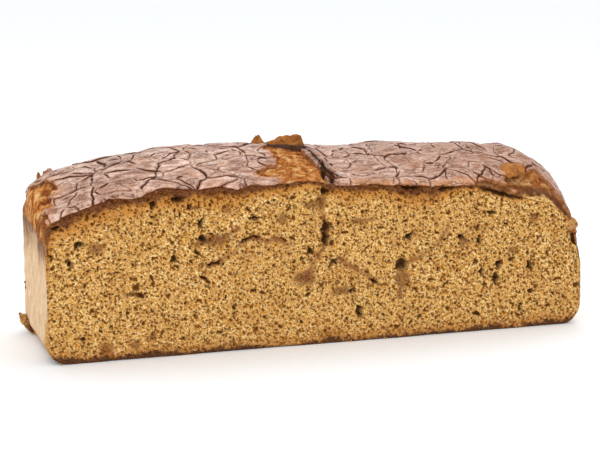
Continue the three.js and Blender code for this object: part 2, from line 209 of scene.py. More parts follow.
# %% Patches and fissure
PATCHES = {  # x, y, half length, half depth, under the number that their draws use
    0: (-132, -10, 8, 19), 2: (105, -31, 12.5, 12), 3: (84, -38, 15, 5), 4: (119, -36, 9, 7),
}
PATCH_CORNERS, PATCH_RAGGEDNESS = 18, 0.45
MIDDLE_PATCH = [
    (-17, 12), (-23, 1), (-20.5, -8.5), (-21.5, -20), (-28, -24.5), (-35.5, -28.5), (-33, -31.5),
    (-26, -32.6), (-19.5, -37), (-19.5, -45), (-1.5, -45), (-2.5, -36), (-2, -24), (-2.5, -13.5),
    (-4, -4), (0, 3.5), (-8, 8.5),
]
FLAKE_FOOT = [(-19, 15), (-8, 10), (0.5, 4)]  # the middle patch ends at the foot of a flake
LEFT_STRIP, LEFT_STRIP_BACK = -130.6, 14.0  # the crust also stops short of the left rim, up to this y
TEAR, TEAR_SIZE = 1.1, 4.5  # how far torn edges wander
FISSURE_Y, FISSURE_X = [-40, -31, -17, 5], [0, 1.2, -1, 0]
FISSURE_HALF_WIDTH, FISSURE_DEPTH, FISSURE_START_SHARE = 2.6, 7.5, 0.15
FISSURE_WANDER, FISSURE_WANDER_SIZE, FISSURE_JAGS, FISSURE_JAG_SIZE = 1.2, 7.0, 0.8, 2.5
FISSURE_BULGE, FISSURE_BULGE_Y, FISSURE_BULGE_RUN = 0.45, -31.0, 4.0  # it is widest short of the cut face
SLIT_SHARE, SLIT_FROM, SLIT_TO = 0.35, -32.5, -36.0  # and a slit in the cut face


def to_line(x, y, line):
    """Distance to a line of straight stretches."""
    nearest = np.full(x.shape, 99.0)
    for (x0, y0), (x1, y1) in zip(line, line[1:]):
        share = ((x - x0) * (x1 - x0) + (y - y0) * (y1 - y0)) / ((x1 - x0) ** 2 + (y1 - y0) ** 2)
        share = np.clip(share, 0, 1)
        nearest = np.minimum(nearest, np.hypot(x - lerp(x0, x1, share), y - lerp(y0, y1, share)))
    return nearest


def inside_outline(x, y, outline):
    """Distance to an outline, positive inside it, where a ray crosses it an odd number of times."""
    odd = np.zeros(x.shape, dtype=bool)
    for (x0, y0), (x1, y1) in zip(outline, outline[1:] + outline[:1]):
        crossed = (y0 > y) != (y1 > y)
        odd ^= crossed & (x < lerp(x0, x1, (y - y0) / (y1 - y0 if y1 != y0 else 1)))
    return np.where(odd, 1, -1) * to_line(x, y, outline + outline[:1])


def inside_patch(x, y):
    """How deep a point of the plan lies inside the nearest patch, in mm, and negative outside."""
    deepest = inside_outline(x, y, MIDDLE_PATCH)
    for index, (at_x, at_y, half_length, half_depth) in PATCHES.items():
        across, along = (x - at_x) / half_length, (y - at_y) / half_depth
        corner = np.arctan2(along, across) / (2 * np.pi) * PATCH_CORNERS % PATCH_CORNERS
        first = np.floor(corner)
        radii = [draw((first + k) % PATCH_CORNERS, index, 10) - 0.5 for k in (0, 1)]
        radius = 1 + PATCH_RAGGEDNESS * lerp(radii[0], radii[1], corner - first)
        depth = (radius - np.hypot(across, along)) * min(half_length, half_depth)
        deepest = np.maximum(deepest, depth)
    deepest = np.maximum(deepest, np.minimum(LEFT_STRIP - x, LEFT_STRIP_BACK - y))
    return deepest + TEAR * roughness(x / TEAR_SIZE, y / TEAR_SIZE, 100, 4)


def inside_fissure(x, y):
    """The same for the fissure, and how deep it is there."""
    share = np.clip((FISSURE_Y[-1] - y) / (FISSURE_Y[-1] - FISSURE_Y[0]), 0, 1)
    wander = FISSURE_WANDER * roughness(y / FISSURE_WANDER_SIZE, 0 * y, 110, 4)
    jagged = wander + FISSURE_JAGS * noise(x / FISSURE_JAG_SIZE, y / FISSURE_JAG_SIZE, 115)
    bulge = FISSURE_BULGE * np.exp(-(((y - FISSURE_BULGE_Y) / FISSURE_BULGE_RUN) ** 2))
    width = lerp(FISSURE_START_SHARE, 1, share**2) + bulge
    width = width * lerp(1, SLIT_SHARE, smoothstep(y, SLIT_FROM, SLIT_TO))
    width = width * np.where(y < FISSURE_Y[-1], 1, -2)
    depth = FISSURE_HALF_WIDTH * width - np.abs(x - np.interp(y, FISSURE_Y, FISSURE_X) - jagged)
    return depth, FISSURE_DEPTH * np.clip(width, 0, 1)


print("patches:", len(PATCHES) + 1, "and a fissure", FISSURE_Y[-1] - FISSURE_Y[0], "mm long")

# %% [markdown]
# The crumb body is the inside of the cake: the cut face that everyone looks at, the floor under the
# crust, and the skin that the tin left on the ends and the back. A cube with its edges subdivided gives
# one closed mesh. Only the cut face and the torn patches are cut finer, to about half a millimetre,
# because pores are that small and the rest is smooth.

# %% A finely divided box
COARSE, FINER_CUTS = 2.2, 3  # mm of one square, and how many cuts the visible crumb gets


def divided_box(bm, stretches):
    bmesh.ops.create_cube(bm, size=1)
    for axis, count in enumerate(stretches):
        along = [e for e in bm.edges if abs((e.verts[0].co - e.verts[1].co)[axis]) > 1e-6]
        bmesh.ops.subdivide_edges(bm, edges=along, cuts=count - 1, use_grid_fill=True)


def in_torn_patch(face):
    middle = face.calc_center_median()
    spot = [np.array([middle.x * LENGTH]), np.array([middle.y * DEPTH])]
    return middle.z > 0.499 and (inside_patch(*spot)[0] > -1.5 or inside_fissure(*spot)[0][0] > -1.5)


body = bmesh.new()
divided_box(body, [round(side / COARSE) for side in (LENGTH, DEPTH, CUT_HEIGHT)])
shown = [f for f in body.faces if f.calc_center_median().y < -0.499 or in_torn_patch(f)]
edges = list({edge for face in shown for edge in face.edges})
bmesh.ops.subdivide_edges(body, edges=edges, cuts=FINER_CUTS, use_grid_fill=True)
print("crumb body:", len(body.verts), "vertices,", len(shown), "coarse faces of crumb cut finer")

# %% Onto the form of the loaf
crumb_mesh = bpy.data.meshes.new("cake_crumb")
body.to_mesh(crumb_mesh)
body.free()


def read_points(mesh):
    flat = np.empty(len(mesh.vertices) * 3)
    mesh.vertices.foreach_get("co", flat)
    return flat.reshape(-1, 3)


def write_points(mesh, points):
    mesh.vertices.foreach_set("co", (points * MM).ravel())
    mesh.polygons.foreach_set("use_smooth", np.ones(len(mesh.polygons), dtype=bool))
    mesh.update()


box = read_points(crumb_mesh)
points = loaf_points(box)
on_cut = box[:, 1] < -0.4999
on_top = box[:, 2] > 0.4999
on_base = box[:, 2] < -0.4999
on_skin = (~on_top) & (~on_base) & (~on_cut)
print("points on the cut face:", int(on_cut.sum()), "and on the skin:", int(on_skin.sum()))

# %% [markdown]
# Cake crumb is foam: bubbles of many sizes that the knife cut open. Small pores sit about two millimetres
# apart, larger ones are rarer, and some air holes are known by their place. Each pore is a bowl pressed
# into the face at a drawn spot of a grid, with its rim bent by noise so that none is round. The share of
# the bowl's depth is kept as an attribute, because the material paints shade into the pores with it.

# %% Pores
PORE_KINDS = [  # spacing, share of the spots that hold one, smallest and largest radius
    (1.9, 0.85, 0.45, 0.85), (5.0, 0.6, 0.6, 1.05), (19.0, 0.35, 1.0, 1.7),
]


def pores(u, v, spacing, share, smallest, largest, kind):
    """Depth share of the deepest pore at each point, from 0 to 1."""
    u = u + 0.3 * spacing * noise(u / spacing * 1.7, v / spacing * 1.7, kind)
    v = v + 0.3 * spacing * noise(u / spacing * 1.7, v / spacing * 1.7, kind + 1)
    i, j = np.floor(u / spacing), np.floor(v / spacing)
    deepest = np.zeros(u.shape)
    for a in (-1, 0, 1):
        for b in (-1, 0, 1):
            across = u - (i + a + draw(i + a, j + b, kind + 2)) * spacing
            along = v - (j + b + draw(i + a, j + b, kind + 3)) * spacing
            radius = lerp(smallest, largest, draw(i + a, j + b, kind + 4) ** 2)
            present = draw(i + a, j + b, kind + 5) < share
            deepest = np.maximum(deepest, present * (1 - (across**2 + along**2) / radius**2))
    return deepest


def crumb_pores(u, v, kind):
    """The small, the middle and the large pores."""
    return [pores(u, v, *sizes, kind + 10 * index) for index, sizes in enumerate(PORE_KINDS)]


print("pores:", PORE_KINDS[0][2], "to", PORE_KINDS[-1][3], "mm in radius")

# %% [markdown]
# No two loaves have the same large holes, so the ones that mark this loaf are listed by their place on the
# cut face: air holes, gaps right under the crust, folds where the batter closed over itself, and spots of
# dense crumb. Lists of a few numbers are easier to set against the cake than a sculpted face, and each
# edge is bent by noise so that no hole is a clean ellipse.

# %% Air holes, folds and dense crumb in their places
HOLES = [  # x, z, half width, half height, lean
    (-1.8, 56.1, 2.8, 3.2, 0.2), (-2.2, 50.4, 1.6, 3.4, -0.1), (39.9, 49.2, 3.6, 1.5, 0.55),
    (36.2, 35.8, 3.3, 3.0, 0), (14.7, 14.4, 1.7, 3.0, 0.2), (22.7, 28.2, 2.5, 1.2, -0.5),
    (10.9, 24.8, 1.9, 1.3, 0), (-118.6, 54.2, 2.0, 1.7, 0.5),
    (-122.5, 46.3, 1.6, 1.3, 0), (-62.1, 61.4, 1.6, 2.0, 0), (-75.2, 45.4, 1.4, 2.5, -0.3),
    (-67.4, 68.5, 1.3, 1.7, 0), (-73.2, 73.0, 2.4, 2.0, 0), (-61.6, 53.9, 1.3, 2.0, 0.4),
    (-84.3, 71.0, 1.9, 1.6, 0), (-37.0, 62.2, 3.4, 0.8, 0.1), (67.0, 47.4, 1.9, 1.5, 0),
    (75.5, 45.8, 1.2, 2.8, 0), (86.3, 32.6, 1.4, 2.6, -0.2), (85.4, 26.0, 1.5, 3.4, 0),
    (77.6, 29.5, 1.5, 2.2, 0), (102.8, 30.8, 1.6, 1.5, 0), (82.5, 58.5, 2.3, 1.0, 0.1),
    (98.3, 10.3, 1.5, 2.6, 0), (-9.2, 45.6, 2.2, 0.9, -0.6), (1.2, 38.8, 2.9, 0.8, 0.8),
    (-40.8, 52.2, 3.0, 0.7, 0.4), (-36.0, 53.0, 2.6, 0.6, -0.1), (-56.0, 42.0, 3.2, 0.7, 0.3),
    (-3.0, 73.2, 2.2, 1.5, 0.3), (-128.2, 63.0, 2.0, 1.1, 0.8),
]
CRUST_GAPS = [(40, 5, 1.2), (59, 4.5, 1.8), (86, 12, 1.5)]  # x, half length, half height
GAP_BELOW_CRUST, GAP_DEPTH = 2.6, 3.0
BROWN_BAND = [  # x, and how far the browning under the crust reaches down there
    (-132, 3.2), (-112, 4.3), (-60, 3.9), (-45, 4.6), (-35, 2.3), (-5, 2.0), (10, 3.8), (25, 2.6), (38, 4.3),
    (50, 4.2), (62, 2.2), (72, 1.2), (95, 1.2), (101, 0.3), (118, 0.25), (133, 0.4),
]
FOLDS = [
    [(-64.1, 51.6), (-59.1, 52.5), (-53.4, 53.4), (-48.3, 55.6), (-44.5, 57.9)],
    [(-59.9, 41.6), (-54.8, 42.2), (-50.9, 44.8), (-45.8, 47.4), (-43.3, 50.3), (-38.8, 52.9), (-34.3, 52.6)],
    [(-34.3, 52.6), (-31.1, 50.8), (-26.6, 52.2), (-22.7, 50.3), (-19.4, 48.6)],
    [(-4.4, 69.2), (-4.0, 63.0), (-1.8, 56.1), (-2.4, 48.0), (-6.3, 43.0), (-12.0, 33.0)],
    [(3.6, 41.4), (8.5, 38.2), (13.2, 34.7), (19.3, 31.6), (22.7, 28.2)],
    [(36.2, 35.8), (46.4, 39.4), (51.2, 42.3), (55.2, 46.3), (58.6, 50.7), (59.9, 55.8)],
]
DENSE_SPOTS = [  # x, z, half width, half height
    (-12.4, 32.5, 7, 5), (5.4, 25.2, 6, 3), (36.4, 29.0, 5, 6), (35.0, 21.5, 2.5, 3.2),
    (-23.5, 61.0, 3.5, 3), (-9.5, 67.2, 4, 2.4), (15.7, 58.3, 8, 1.8), (67.5, 45.0, 3, 3),
    (93.2, 39.4, 2.4, 2), (104.3, 54.7, 3, 2.4), (-50.1, 67.3, 2.6, 2.9), (-55, 53, 9, 3.5),
    (-5, 68.5, 4, 4.5), (-110.5, 52.5, 4.2, 3.4), (-107, 6, 4.5, 4), (-93.5, 7, 3, 3),
    (-85.5, 10.5, 2.2, 3.4),
]
SPOT_BEND, SPOT_BEND_SIZE = 0.9, 1.6  # how far the edges of holes and spots wander


def in_spots(x, z, spots):
    """1 in the middle of the nearest spot, falling to 0 at its uneven edge."""
    bend_x = SPOT_BEND * noise(x / SPOT_BEND_SIZE, z / SPOT_BEND_SIZE, 120)
    bend_z = SPOT_BEND * noise(x / SPOT_BEND_SIZE, z / SPOT_BEND_SIZE, 121)
    deepest = np.zeros(x.shape)
    for at_x, at_z, half_width, half_height, *lean in spots:
        turn = lean[0] if lean else 0
        dx, dz = x - at_x + bend_x, z - at_z + bend_z
        across = (dx * math.cos(turn) + dz * math.sin(turn)) / half_width
        up = (dz * math.cos(turn) - dx * math.sin(turn)) / half_height
        deepest = np.maximum(deepest, 1 - across**2 - up**2)
    return deepest


print(len(HOLES), "air holes,", len(FOLDS), "folds and", len(DENSE_SPOTS), "dense spots")

# %% Pressing the crumb into the cut face
SMALL_DEPTH, MIDDLE_DEPTH, LARGE_DEPTH, HOLE_DEPTH = 0.75, 1.3, 1.7, 3.6  # of pores and air holes
FOLD_HALF_WIDTH, CLOSED_SHARE = 1.2, 0.4  # dense crumb has this much shallower pores
CRUMB_GRAIN, CRUMB_GRAIN_SIZE = 0.22, 1.9
EDGE_RIM, EDGE_SHARE = 2.5, 0.25  # near its edges the cut face is pressed in less
x, z = points[:, 0], points[:, 2]
under_crust = loaf_points(np.stack([box[:, 0], box[:, 1], 0 * z + 0.5], axis=1))[:, 2] - z
fall = crust_height(x + 0.5, 0 * x + FRONT) - crust_height(x - 0.5, 0 * x + FRONT)
to_crust = under_crust / np.sqrt(1 + fall**2)
band = to_crust / np.interp(x, *zip(*BROWN_BAND))
small, middle, large = crumb_pores(x, z, 200)
holes = in_spots(x, z, HOLES)
gaps = in_spots(x, under_crust, [(at, GAP_BELOW_CRUST - CRUST_DEPTH, a, b) for at, a, b in CRUST_GAPS])
fold = np.max([np.exp(-((to_line(x, z, line) / FOLD_HALF_WIDTH) ** 2)) for line in FOLDS], axis=0)
fold = np.clip(fold * (0.75 + 0.4 * noise(x / 5, z / 5, 130)), 0, 1) * on_cut
dense = smoothstep(in_spots(x, z, DENSE_SPOTS), 0, 0.8) * on_cut
open_crumb = 1 - CLOSED_SHARE * np.maximum(fold, dense)
pressed = (SMALL_DEPTH * small + MIDDLE_DEPTH * middle + LARGE_DEPTH * large) * open_crumb
pressed = pressed + HOLE_DEPTH * np.sqrt(holes) + GAP_DEPTH * np.sqrt(gaps)
pressed = pressed + CRUMB_GRAIN * roughness(x / CRUMB_GRAIN_SIZE, z / CRUMB_GRAIN_SIZE, 140)
edge_free = smoothstep(np.minimum(z, HALF - np.abs(x)), 0, EDGE_RIM)
points[:, 1] += np.where(on_cut, pressed * lerp(EDGE_SHARE, 1, edge_free), 0)
# how dark the pores, air holes and gaps under the crust are painted, as painted shade
pore = np.clip(np.maximum.reduce([small, 1.2 * middle, 1.2 * large]) * open_crumb, 0, 1)
hole = np.clip(np.maximum.reduce([0.6 * middle, 0.9 * large, 1.7 * holes, 1.6 * gaps]), 0, 1) * on_cut
print("deepest hole:", round(float(pressed[on_cut].max()), 1), "mm")

# %% [markdown]
# Where the crust came away, the crumb below it is torn and not cut. It broke along its layers, so it lies
# in flat steps with short risers between them. At the left end it is lumpy, and its lip hangs a little over
# the wall. Sculpting would give the same relief by hand. Here a step is noise rounded down to one of a few
# levels, which comes out the same in every run.

# %% Tearing the crumb where the crust is gone
LIP_OUT, WALL_IN = 1.2, 1.6  # the lip stands out at the left end, and the wall below it is drawn in
LONG_STEP, SHORT_STEP, LUMP = 2.2, 0.7, 1.5  # heights of the torn layers, and of the lumps at the left


def layers(u, v, kind, count):
    """Torn layers: flat steps that follow the noise, from 0 to 1, and 1 on the risers between them."""
    height = (1 + roughness(u, v, kind, 4)) / 2 * count
    riser = smoothstep(height % 1, 0.7, 1)
    return (np.floor(height) + riser) / count, 4 * riser * (1 - riser)


x, y = points[:, 0], points[:, 1]
on_left = box[:, 0] < -0.4999
below_rim = crust_height(np.full(len(x), -HALF), y) - CRUST_DEPTH - z
overhang = lerp(LIP_OUT, -WALL_IN, smoothstep(below_rim, 1, 5)) * smoothstep(below_rim, 60, 8) * on_left
overhang = np.where(on_top, LIP_OUT * smoothstep(x, -127, -132), overhang) * smoothstep(y, 24, 8)
points[:, 0] -= overhang
torn_wall = smoothstep(below_rim, 2.2, 0.8 + roughness(y / 6, z / 6, 149)) * on_left
torn = np.maximum(smoothstep(inside_patch(x, y), -1.2, 0.6) * on_top, torn_wall)
split, split_depth = inside_fissure(x, y)
sunk = split_depth * np.clip(split / FISSURE_HALF_WIDTH, 0, 1)
torn_small, torn_middle, _ = crumb_pores(x, y, 300)
long_layers, long_risers = layers(x / 13, y / 5, 150, 4)
short_layers, short_risers = layers(x / 4, y / 3, 154, 3)
lumps, on_left_patch = roughness(x / 3.6, y / 6, 157, 4), smoothstep(x, -100, -110)
steps = LONG_STEP * (long_layers - 0.5) + SHORT_STEP * (short_layers - 0.5)
crags = lerp(steps, LUMP * lumps, on_left_patch) - 0.25 * torn_small - 0.9 * torn_middle
points[:, 2] += np.where(on_top, torn * crags - sunk, 0)
points[:, 2] -= np.where(on_cut & ~on_top, sunk * smoothstep(under_crust, 12, 0), 0)
print("torn crumb covers", int((torn > 0.5).sum()), "points")

# %% Painted shade on the torn crumb, where it is redder, and where it is pale
# painted shade on the risers between torn layers and in the hollows between the left patch's lumps, and
# redder crumb at the very left edge
frayed = np.clip(np.maximum(long_risers, 0.6 * short_risers), 0, 1)
red_crumb = smoothstep(x, -131, -128) * smoothstep(noise(x / 1.7, y / 3.4, 158), -0.7, 0.3)
frayed = lerp(frayed, np.maximum(smoothstep(lumps, -0.1, -0.7), red_crumb), on_left_patch) * torn * on_top
# painted shade in the torn crumb's pores and down in the fissure
pore = np.where(on_top, 0.9 * torn * torn_middle, pore)
hole = np.where(on_top, np.clip(sunk / 1.3, 0, 1), hole)
torn = np.maximum(torn, smoothstep(split, -1.0, 0.5) * on_top)
# painted shade under the flake's foot and in the fissure, and darker crumb towards the cut edge of the right
# patch
under_flake = np.exp(-((to_line(x, y, FLAKE_FOOT) / 2.4) ** 2))
right_edge = np.maximum(smoothstep(y, -25, -32) * lerp(0.75, 1, smoothstep(x, 94, 104)), 0.3) * (x > 60)
burnt = np.maximum(0.9 * under_flake, right_edge) * torn
burnt = np.maximum(burnt, 0.9 * smoothstep(split, -0.5, 0.8) * on_top)
pale_edge = smoothstep(y + 0.7 * roughness(x / 3, y / 3, 159), -32.5, -34.5) * on_top
pale_edge = pale_edge * smoothstep(x, 97, 101) * smoothstep(x, 126, 121)
print("burnt crumb covers", int((burnt > 0.5).sum()), "points")

# %% [markdown]
# The tin left a smooth pale skin on the ends and the back, with low bumps. Below the crust the skin is
# browner, partly from baking and partly as painted shade under the rim. In the right edge is a round notch
# where a scrap was pulled out. A boolean would cut the notch, but it would also cut the fine mesh into
# slivers, so the points inside a ball are simply moved back onto it.

# %% Notch in the right edge, and the skin of the ends and the back
NOTCH = np.array([128.2, -36.0, 44.0, 4.2])  # x, y, z, radius
SKIN_BUMP = 0.16
off = points - NOTCH[:3]
within = NOTCH[3] ** 2 - off[:, 1] ** 2 - off[:, 2] ** 2
dented = (within > 0) & (off[:, 0] > -np.sqrt(np.maximum(0, within))) & (points[:, 0] > 0)
points[:, 0] = np.where(dented, NOTCH[0] - np.sqrt(np.maximum(0, within)), points[:, 0])
skin_bumps = SKIN_BUMP * roughness((x + y) / 6, z / 5, 160, 3)
outward = np.where((np.abs(box[:, 0]) > 0.4999)[:, None], [[1.0, 0, 0]], [[0, 1.0, 0]]) * np.sign(points)
points += (skin_bumps * on_skin)[:, None] * outward
past_crust = on_top * (1 - torn) * smoothstep(rim_share(x, y), 0.8, 0.93)
golden_foot = smoothstep(z + 1.6 * (y - FRONT) + 3 * roughness(y / 6, z / 6, 167), 30, 22) * (x < 0)
skin = np.maximum(on_skin * (1 - torn) * (1 - golden_foot), past_crust)
# browning and painted shade on the skin below the crust's rim
toasted = smoothstep(under_crust + 4 * roughness((x + y) / 11, z / 9, 164), 25, 1)
print("notch moves", int(dented.sum()), "points, and the skin covers", int((skin > 0.5).sum()))

# %% [markdown]
# The material needs to know where it is on the cake. Each point keeps a few numbers as attributes: how
# deep in a pore it lies, how far under the crust, whether it is dense, torn, skin or baked base, and where
# it gets painted shade: in the fissure, under the flakes and on the crumb that the crust's cracks show.
# Painting the colours point by point would also work, but numbers keep the finishes in the material, where
# they can be changed without touching the mesh.

# %% Attributes of the crumb
def keep(mesh, **values):
    for name, numbers in values.items():
        kept = mesh.attributes.new(name, "FLOAT", "POINT")
        kept.data.foreach_set("value", np.asarray(numbers, dtype=np.float32))


BASE, BASE_WAVE, BASE_LEFT = 1.3, 1.0, 2.2  # height of the dark base, how it varies, and more at the left
RIND, RIND_WAVE, RIGHT_RIND = 1.3, 0.8, 0.4  # browning at the ends of the cut face, weaker at the right
over_base = z - BASE - BASE_WAVE * noise(x / 14, 0 * x, 170)
over_base = over_base - BASE_LEFT * smoothstep(x, -119, -127) * (y < -20)
over_base = np.where(on_base, -5, over_base)
to_end = np.maximum(0, np.minimum(x - points[on_cut, 0].min(), points[on_cut, 0].max() - x))
rind = np.exp(-to_end / (RIND + RIND_WAVE * roughness(x / 8, z / 8, 172))) * np.where(x < 0, 1, RIGHT_RIND)
write_points(crumb_mesh, points)
# the crumb's top under the crust gets painted shade, seen through the cracks
keep(crumb_mesh, pore=pore, hole=hole, band=np.where(on_cut, band, 20), fold=fold, dense=dense,
     torn=torn * (1 - pale_edge), frayed=frayed * (1 - pale_edge), burnt=burnt * (1 - pale_edge),
     skin=skin, toasted=toasted, over_base=over_base, rind=np.where(on_cut, rind, 0),
     hidden=on_top * (1 - torn) - past_crust)
crumb_mesh.validate()


def place_piece(mesh):
    piece = bpy.data.objects.new(mesh.name, mesh)
    bpy.context.scene.collection.objects.link(piece)
    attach(piece, "root")
    mesh.calc_loop_triangles()
    print(mesh.name + ":", len(mesh.loop_triangles), "triangles")
    return piece


crumb = place_piece(crumb_mesh)
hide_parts(LOAF)

# %% [markdown]
# The crust is a thin sweet shell that rose with the cake and cracked into plates. A single sheet with
# grooves would do from afar, but real plates have edges: they curl a little, stand at slightly different
# heights and leave dark gaps. So each plate is its own sheet. A grid is cut to the plate's outline by one
# straight cut for every neighbour, the way drying mud cracks halfway between its firmest points, and the
# outline is bent afterwards so that the cracks wander. Borders that never opened are cut without a gap.

# %% Centres and borders of the plates
PLATE_LENGTH, PLATE_DEPTH, PLATE_JITTER = 24.0, 19.0, 0.85
SHORTEST_CRACK, HEALED_SHARE = 4.0, 0.22
NARROWEST_CRACK, WIDEST_CRACK = 0.08, 0.36  # half widths


def jittered_grid(length, depth, kind):
    """Spots of a grid, each moved off its place by a drawn share of the grid's spacing."""
    columns, rows = math.ceil(HALF / length), math.ceil(BACK / depth)
    spots = [(i, j) for i in range(-columns, columns + 1) for j in range(-rows, rows + 1)]

    def moved(i, j, k):
        return PLATE_JITTER * (draw(i, j, kind + k) - 0.5)

    return np.array([((i + moved(i, j, 0)) * length, (j + moved(i, j, 1)) * depth) for i, j in spots])


def border(centres, a, b, longest):
    """The border of two plates: the part of their midline that is nearer to no other centre."""
    middle, toward = (centres[a] + centres[b]) / 2, centres[b] - centres[a]
    along = np.array([-toward[1], toward[0]]) / np.hypot(*toward)
    others = np.delete(centres, [a, b], axis=0)
    rate = (others - centres[a]) @ along
    limit = ((others**2).sum(axis=1) - centres[a] @ centres[a]) / 2 - (others - centres[a]) @ middle
    limit = limit / np.where(rate == 0, 1e-9, rate)
    start = max([-longest, *limit[rate < 0]])
    end = min([longest, *limit[rate > 0]])
    return middle, along, start, end


centres = jittered_grid(PLATE_LENGTH, PLATE_DEPTH, 5)


def crack_width(a, b):
    """Half the width of two plates' crack, 0 where it never opened and None where they don't meet."""
    first, second = min(a, b), max(a, b)
    *_, start, end = border(centres, a, b, 2 * PLATE_LENGTH)
    if end <= start:
        return None
    if end - start < SHORTEST_CRACK or draw(first, second - first - 1, 9) < HEALED_SHARE:
        return 0.0
    return lerp(NARROWEST_CRACK, WIDEST_CRACK, float(draw(first, second, 180)) ** 1.5)


print(len(centres), "plate centres")

# %% Cutting one plate out of a grid
PLATE_SQUARE = 0.7  # mm of one square of a plate
SHEET = {"left": -138.0, "right": 139.0, "front": FRONT + 0.3, "back": 43.0}  # along the crust's own surface


def all_of(bm):
    return bm.verts[:] + bm.edges[:] + bm.faces[:]


def cut_away(bm, at, toward):
    bmesh.ops.bisect_plane(
        bm, geom=all_of(bm), dist=1e-5, plane_co=(*at, 0), plane_no=(*toward, 0), clear_outer=True
    )


def cut_plate(a):
    """The flat plate, and its sides: a spot on each, the way it faces and half its crack's width."""
    bm = bmesh.new()
    half_x, half_y = 1.5 * PLATE_LENGTH, 1.6 * PLATE_DEPTH
    bmesh.ops.create_grid(
        bm, x_segments=round(2 * half_x / PLATE_SQUARE), y_segments=round(2 * half_y / PLATE_SQUARE), size=1,
        matrix=Matrix.Translation((*centres[a], 0)) @ Matrix.Diagonal((half_x, half_y, 1, 1)),
    )
    cut_away(bm, (SHEET["left"], 0), (-1, 0))
    cut_away(bm, (SHEET["right"], 0), (1, 0))
    cut_away(bm, (0, SHEET["front"]), (0, -1))
    cut_away(bm, (0, SHEET["back"]), (0, 1))
    sides = []
    for b in range(len(centres)):
        toward = centres[b] - centres[a]
        if b == a or np.hypot(*toward) > 3 * PLATE_LENGTH:
            continue
        width = crack_width(a, b)
        if width is None:
            continue
        toward = toward / np.hypot(*toward)
        edge = (centres[a] + centres[b]) / 2 - width * toward
        cut_away(bm, edge, toward)
        sides.append((edge, toward, width))
    return bm, sides


print("flat sheet:", SHEET["right"] - SHEET["left"], "by", SHEET["back"] - SHEET["front"], "mm")

# %% [markdown]
# Most plates have finer cracks that stop short, like those in an old glaze. They could be painted, but an
# open crack with one lip higher than the other catches the light. So each is a short straight cut, taken
# from the borders of a finer set of plates, whose two sides are drawn apart most in its middle.

# %% Fine cracks inside the plates
FINE_LENGTH, FINE_DEPTH, FINE_OPEN_SHARE = 13.5, 8.0, 0.7
FINE_WIDTH, FINE_END = 0.2, 0.7  # half the width of a fine crack, and how far it stops short of the next
CRACK_LIFT, CRACK_LIFT_RUN = 0.9, 2.6  # one side of a crack curls up by this much, over this distance
fine_centres = jittered_grid(FINE_LENGTH, FINE_DEPTH, 182)


def fine_cracks():
    """Middle, way, length and half width of each fine crack: the borders of smaller plates that opened."""
    for a in range(len(fine_centres)):
        for b in range(a + 1, len(fine_centres)):
            apart = np.hypot(*(fine_centres[a] - fine_centres[b]))
            if apart > 2.4 * FINE_LENGTH or draw(a, b, 184) > FINE_OPEN_SHARE:
                continue
            middle, along, start, end = border(fine_centres, a, b, FINE_LENGTH)
            if end - start > SHORTEST_CRACK:
                width = FINE_WIDTH * lerp(0.25, 1, float(draw(a, b, 185)) ** 1.5)
                yield middle + along * (start + end) / 2, along, end - start - 2 * FINE_END, width


FINE_CRACKS = list(fine_cracks())


def open_crack(bm, middle, way, reach, width):
    """Splits a plate along a short line and draws the two sides apart, most at the line's middle."""
    side = np.array([-way[1], way[0]])

    def along(vert):
        return (np.array(vert.co.xy) - middle) @ way

    off = np.array([face.calc_center_median().xy for face in bm.faces]) - middle
    beside = (np.abs(off @ way) < reach / 2 + PLATE_SQUARE) & (np.abs(off @ side) < 2 * PLATE_SQUARE)
    near = [face for face, chosen in zip(bm.faces[:], beside) if chosen]
    if not near:
        return
    geometry = near + list({e for f in near for e in f.edges}) + list({v for f in near for v in f.verts})
    cut = bmesh.ops.bisect_plane(
        bm, geom=geometry, dist=1e-5, plane_co=(*middle, 0), plane_no=(*side, 0)
    )["geom_cut"]
    edges = [item for item in cut if isinstance(item, bmesh.types.BMEdge)]
    edges = [e for e in edges if max(abs(along(v)) for v in e.verts) < reach / 2]
    if not edges:
        return
    split = bmesh.ops.split_edges(bm, edges=edges)["edges"]
    for vert in {v for edge in split for v in edge.verts}:
        inward = np.mean([face.calc_center_median().xy for face in vert.link_faces], axis=0) - vert.co.xy
        apart = width * math.cos(math.pi * along(vert) / reach) * np.sign(inward @ side)
        vert.co += Vector((*(apart * side), 0))


def near_cracks(a):
    """Numbers of the fine cracks that may cross one plate."""
    reach = 1.3 * PLATE_LENGTH
    return [k for k, crack in enumerate(FINE_CRACKS) if np.hypot(*(crack[0] - centres[a])) < reach]


def beside_cracks(spot, chosen):
    """Distance from each point to the nearest fine crack, and how far the higher side of a crack lifts it."""
    nearest, lift = np.full(len(spot), 50.0), np.zeros(len(spot))
    for k in chosen:
        middle, way, reach, width = FINE_CRACKS[k]
        along, side = (spot - middle) @ way, (spot - middle) @ np.array([-way[1], way[0]])
        past_end = np.maximum(0, np.abs(along) - reach / 2)
        nearest = np.minimum(nearest, np.hypot(past_end, side))
        window = np.clip(1 - (2 * along / reach) ** 2, 0, 1)
        higher = side * (draw(k, 0, 186) - 0.5) > 0
        lift = lift + CRACK_LIFT * draw(k, 1, 186) * window * higher * np.exp(-np.abs(side) / CRACK_LIFT_RUN)
    return nearest, lift


print(len(FINE_CRACKS), "fine cracks")

# %% [markdown]
# The plates are cut flat and laid on the loaf afterwards, as a sheet of dough is laid over a tin. The sheet
# is measured along the crust, so it is longer than the plan of the loaf where it turns down at the
# shoulders. Bending it a little in its own plane makes the straight cuts wander. At the cut edge it rounds
# over and hangs down unevenly, because the knife dragged it.

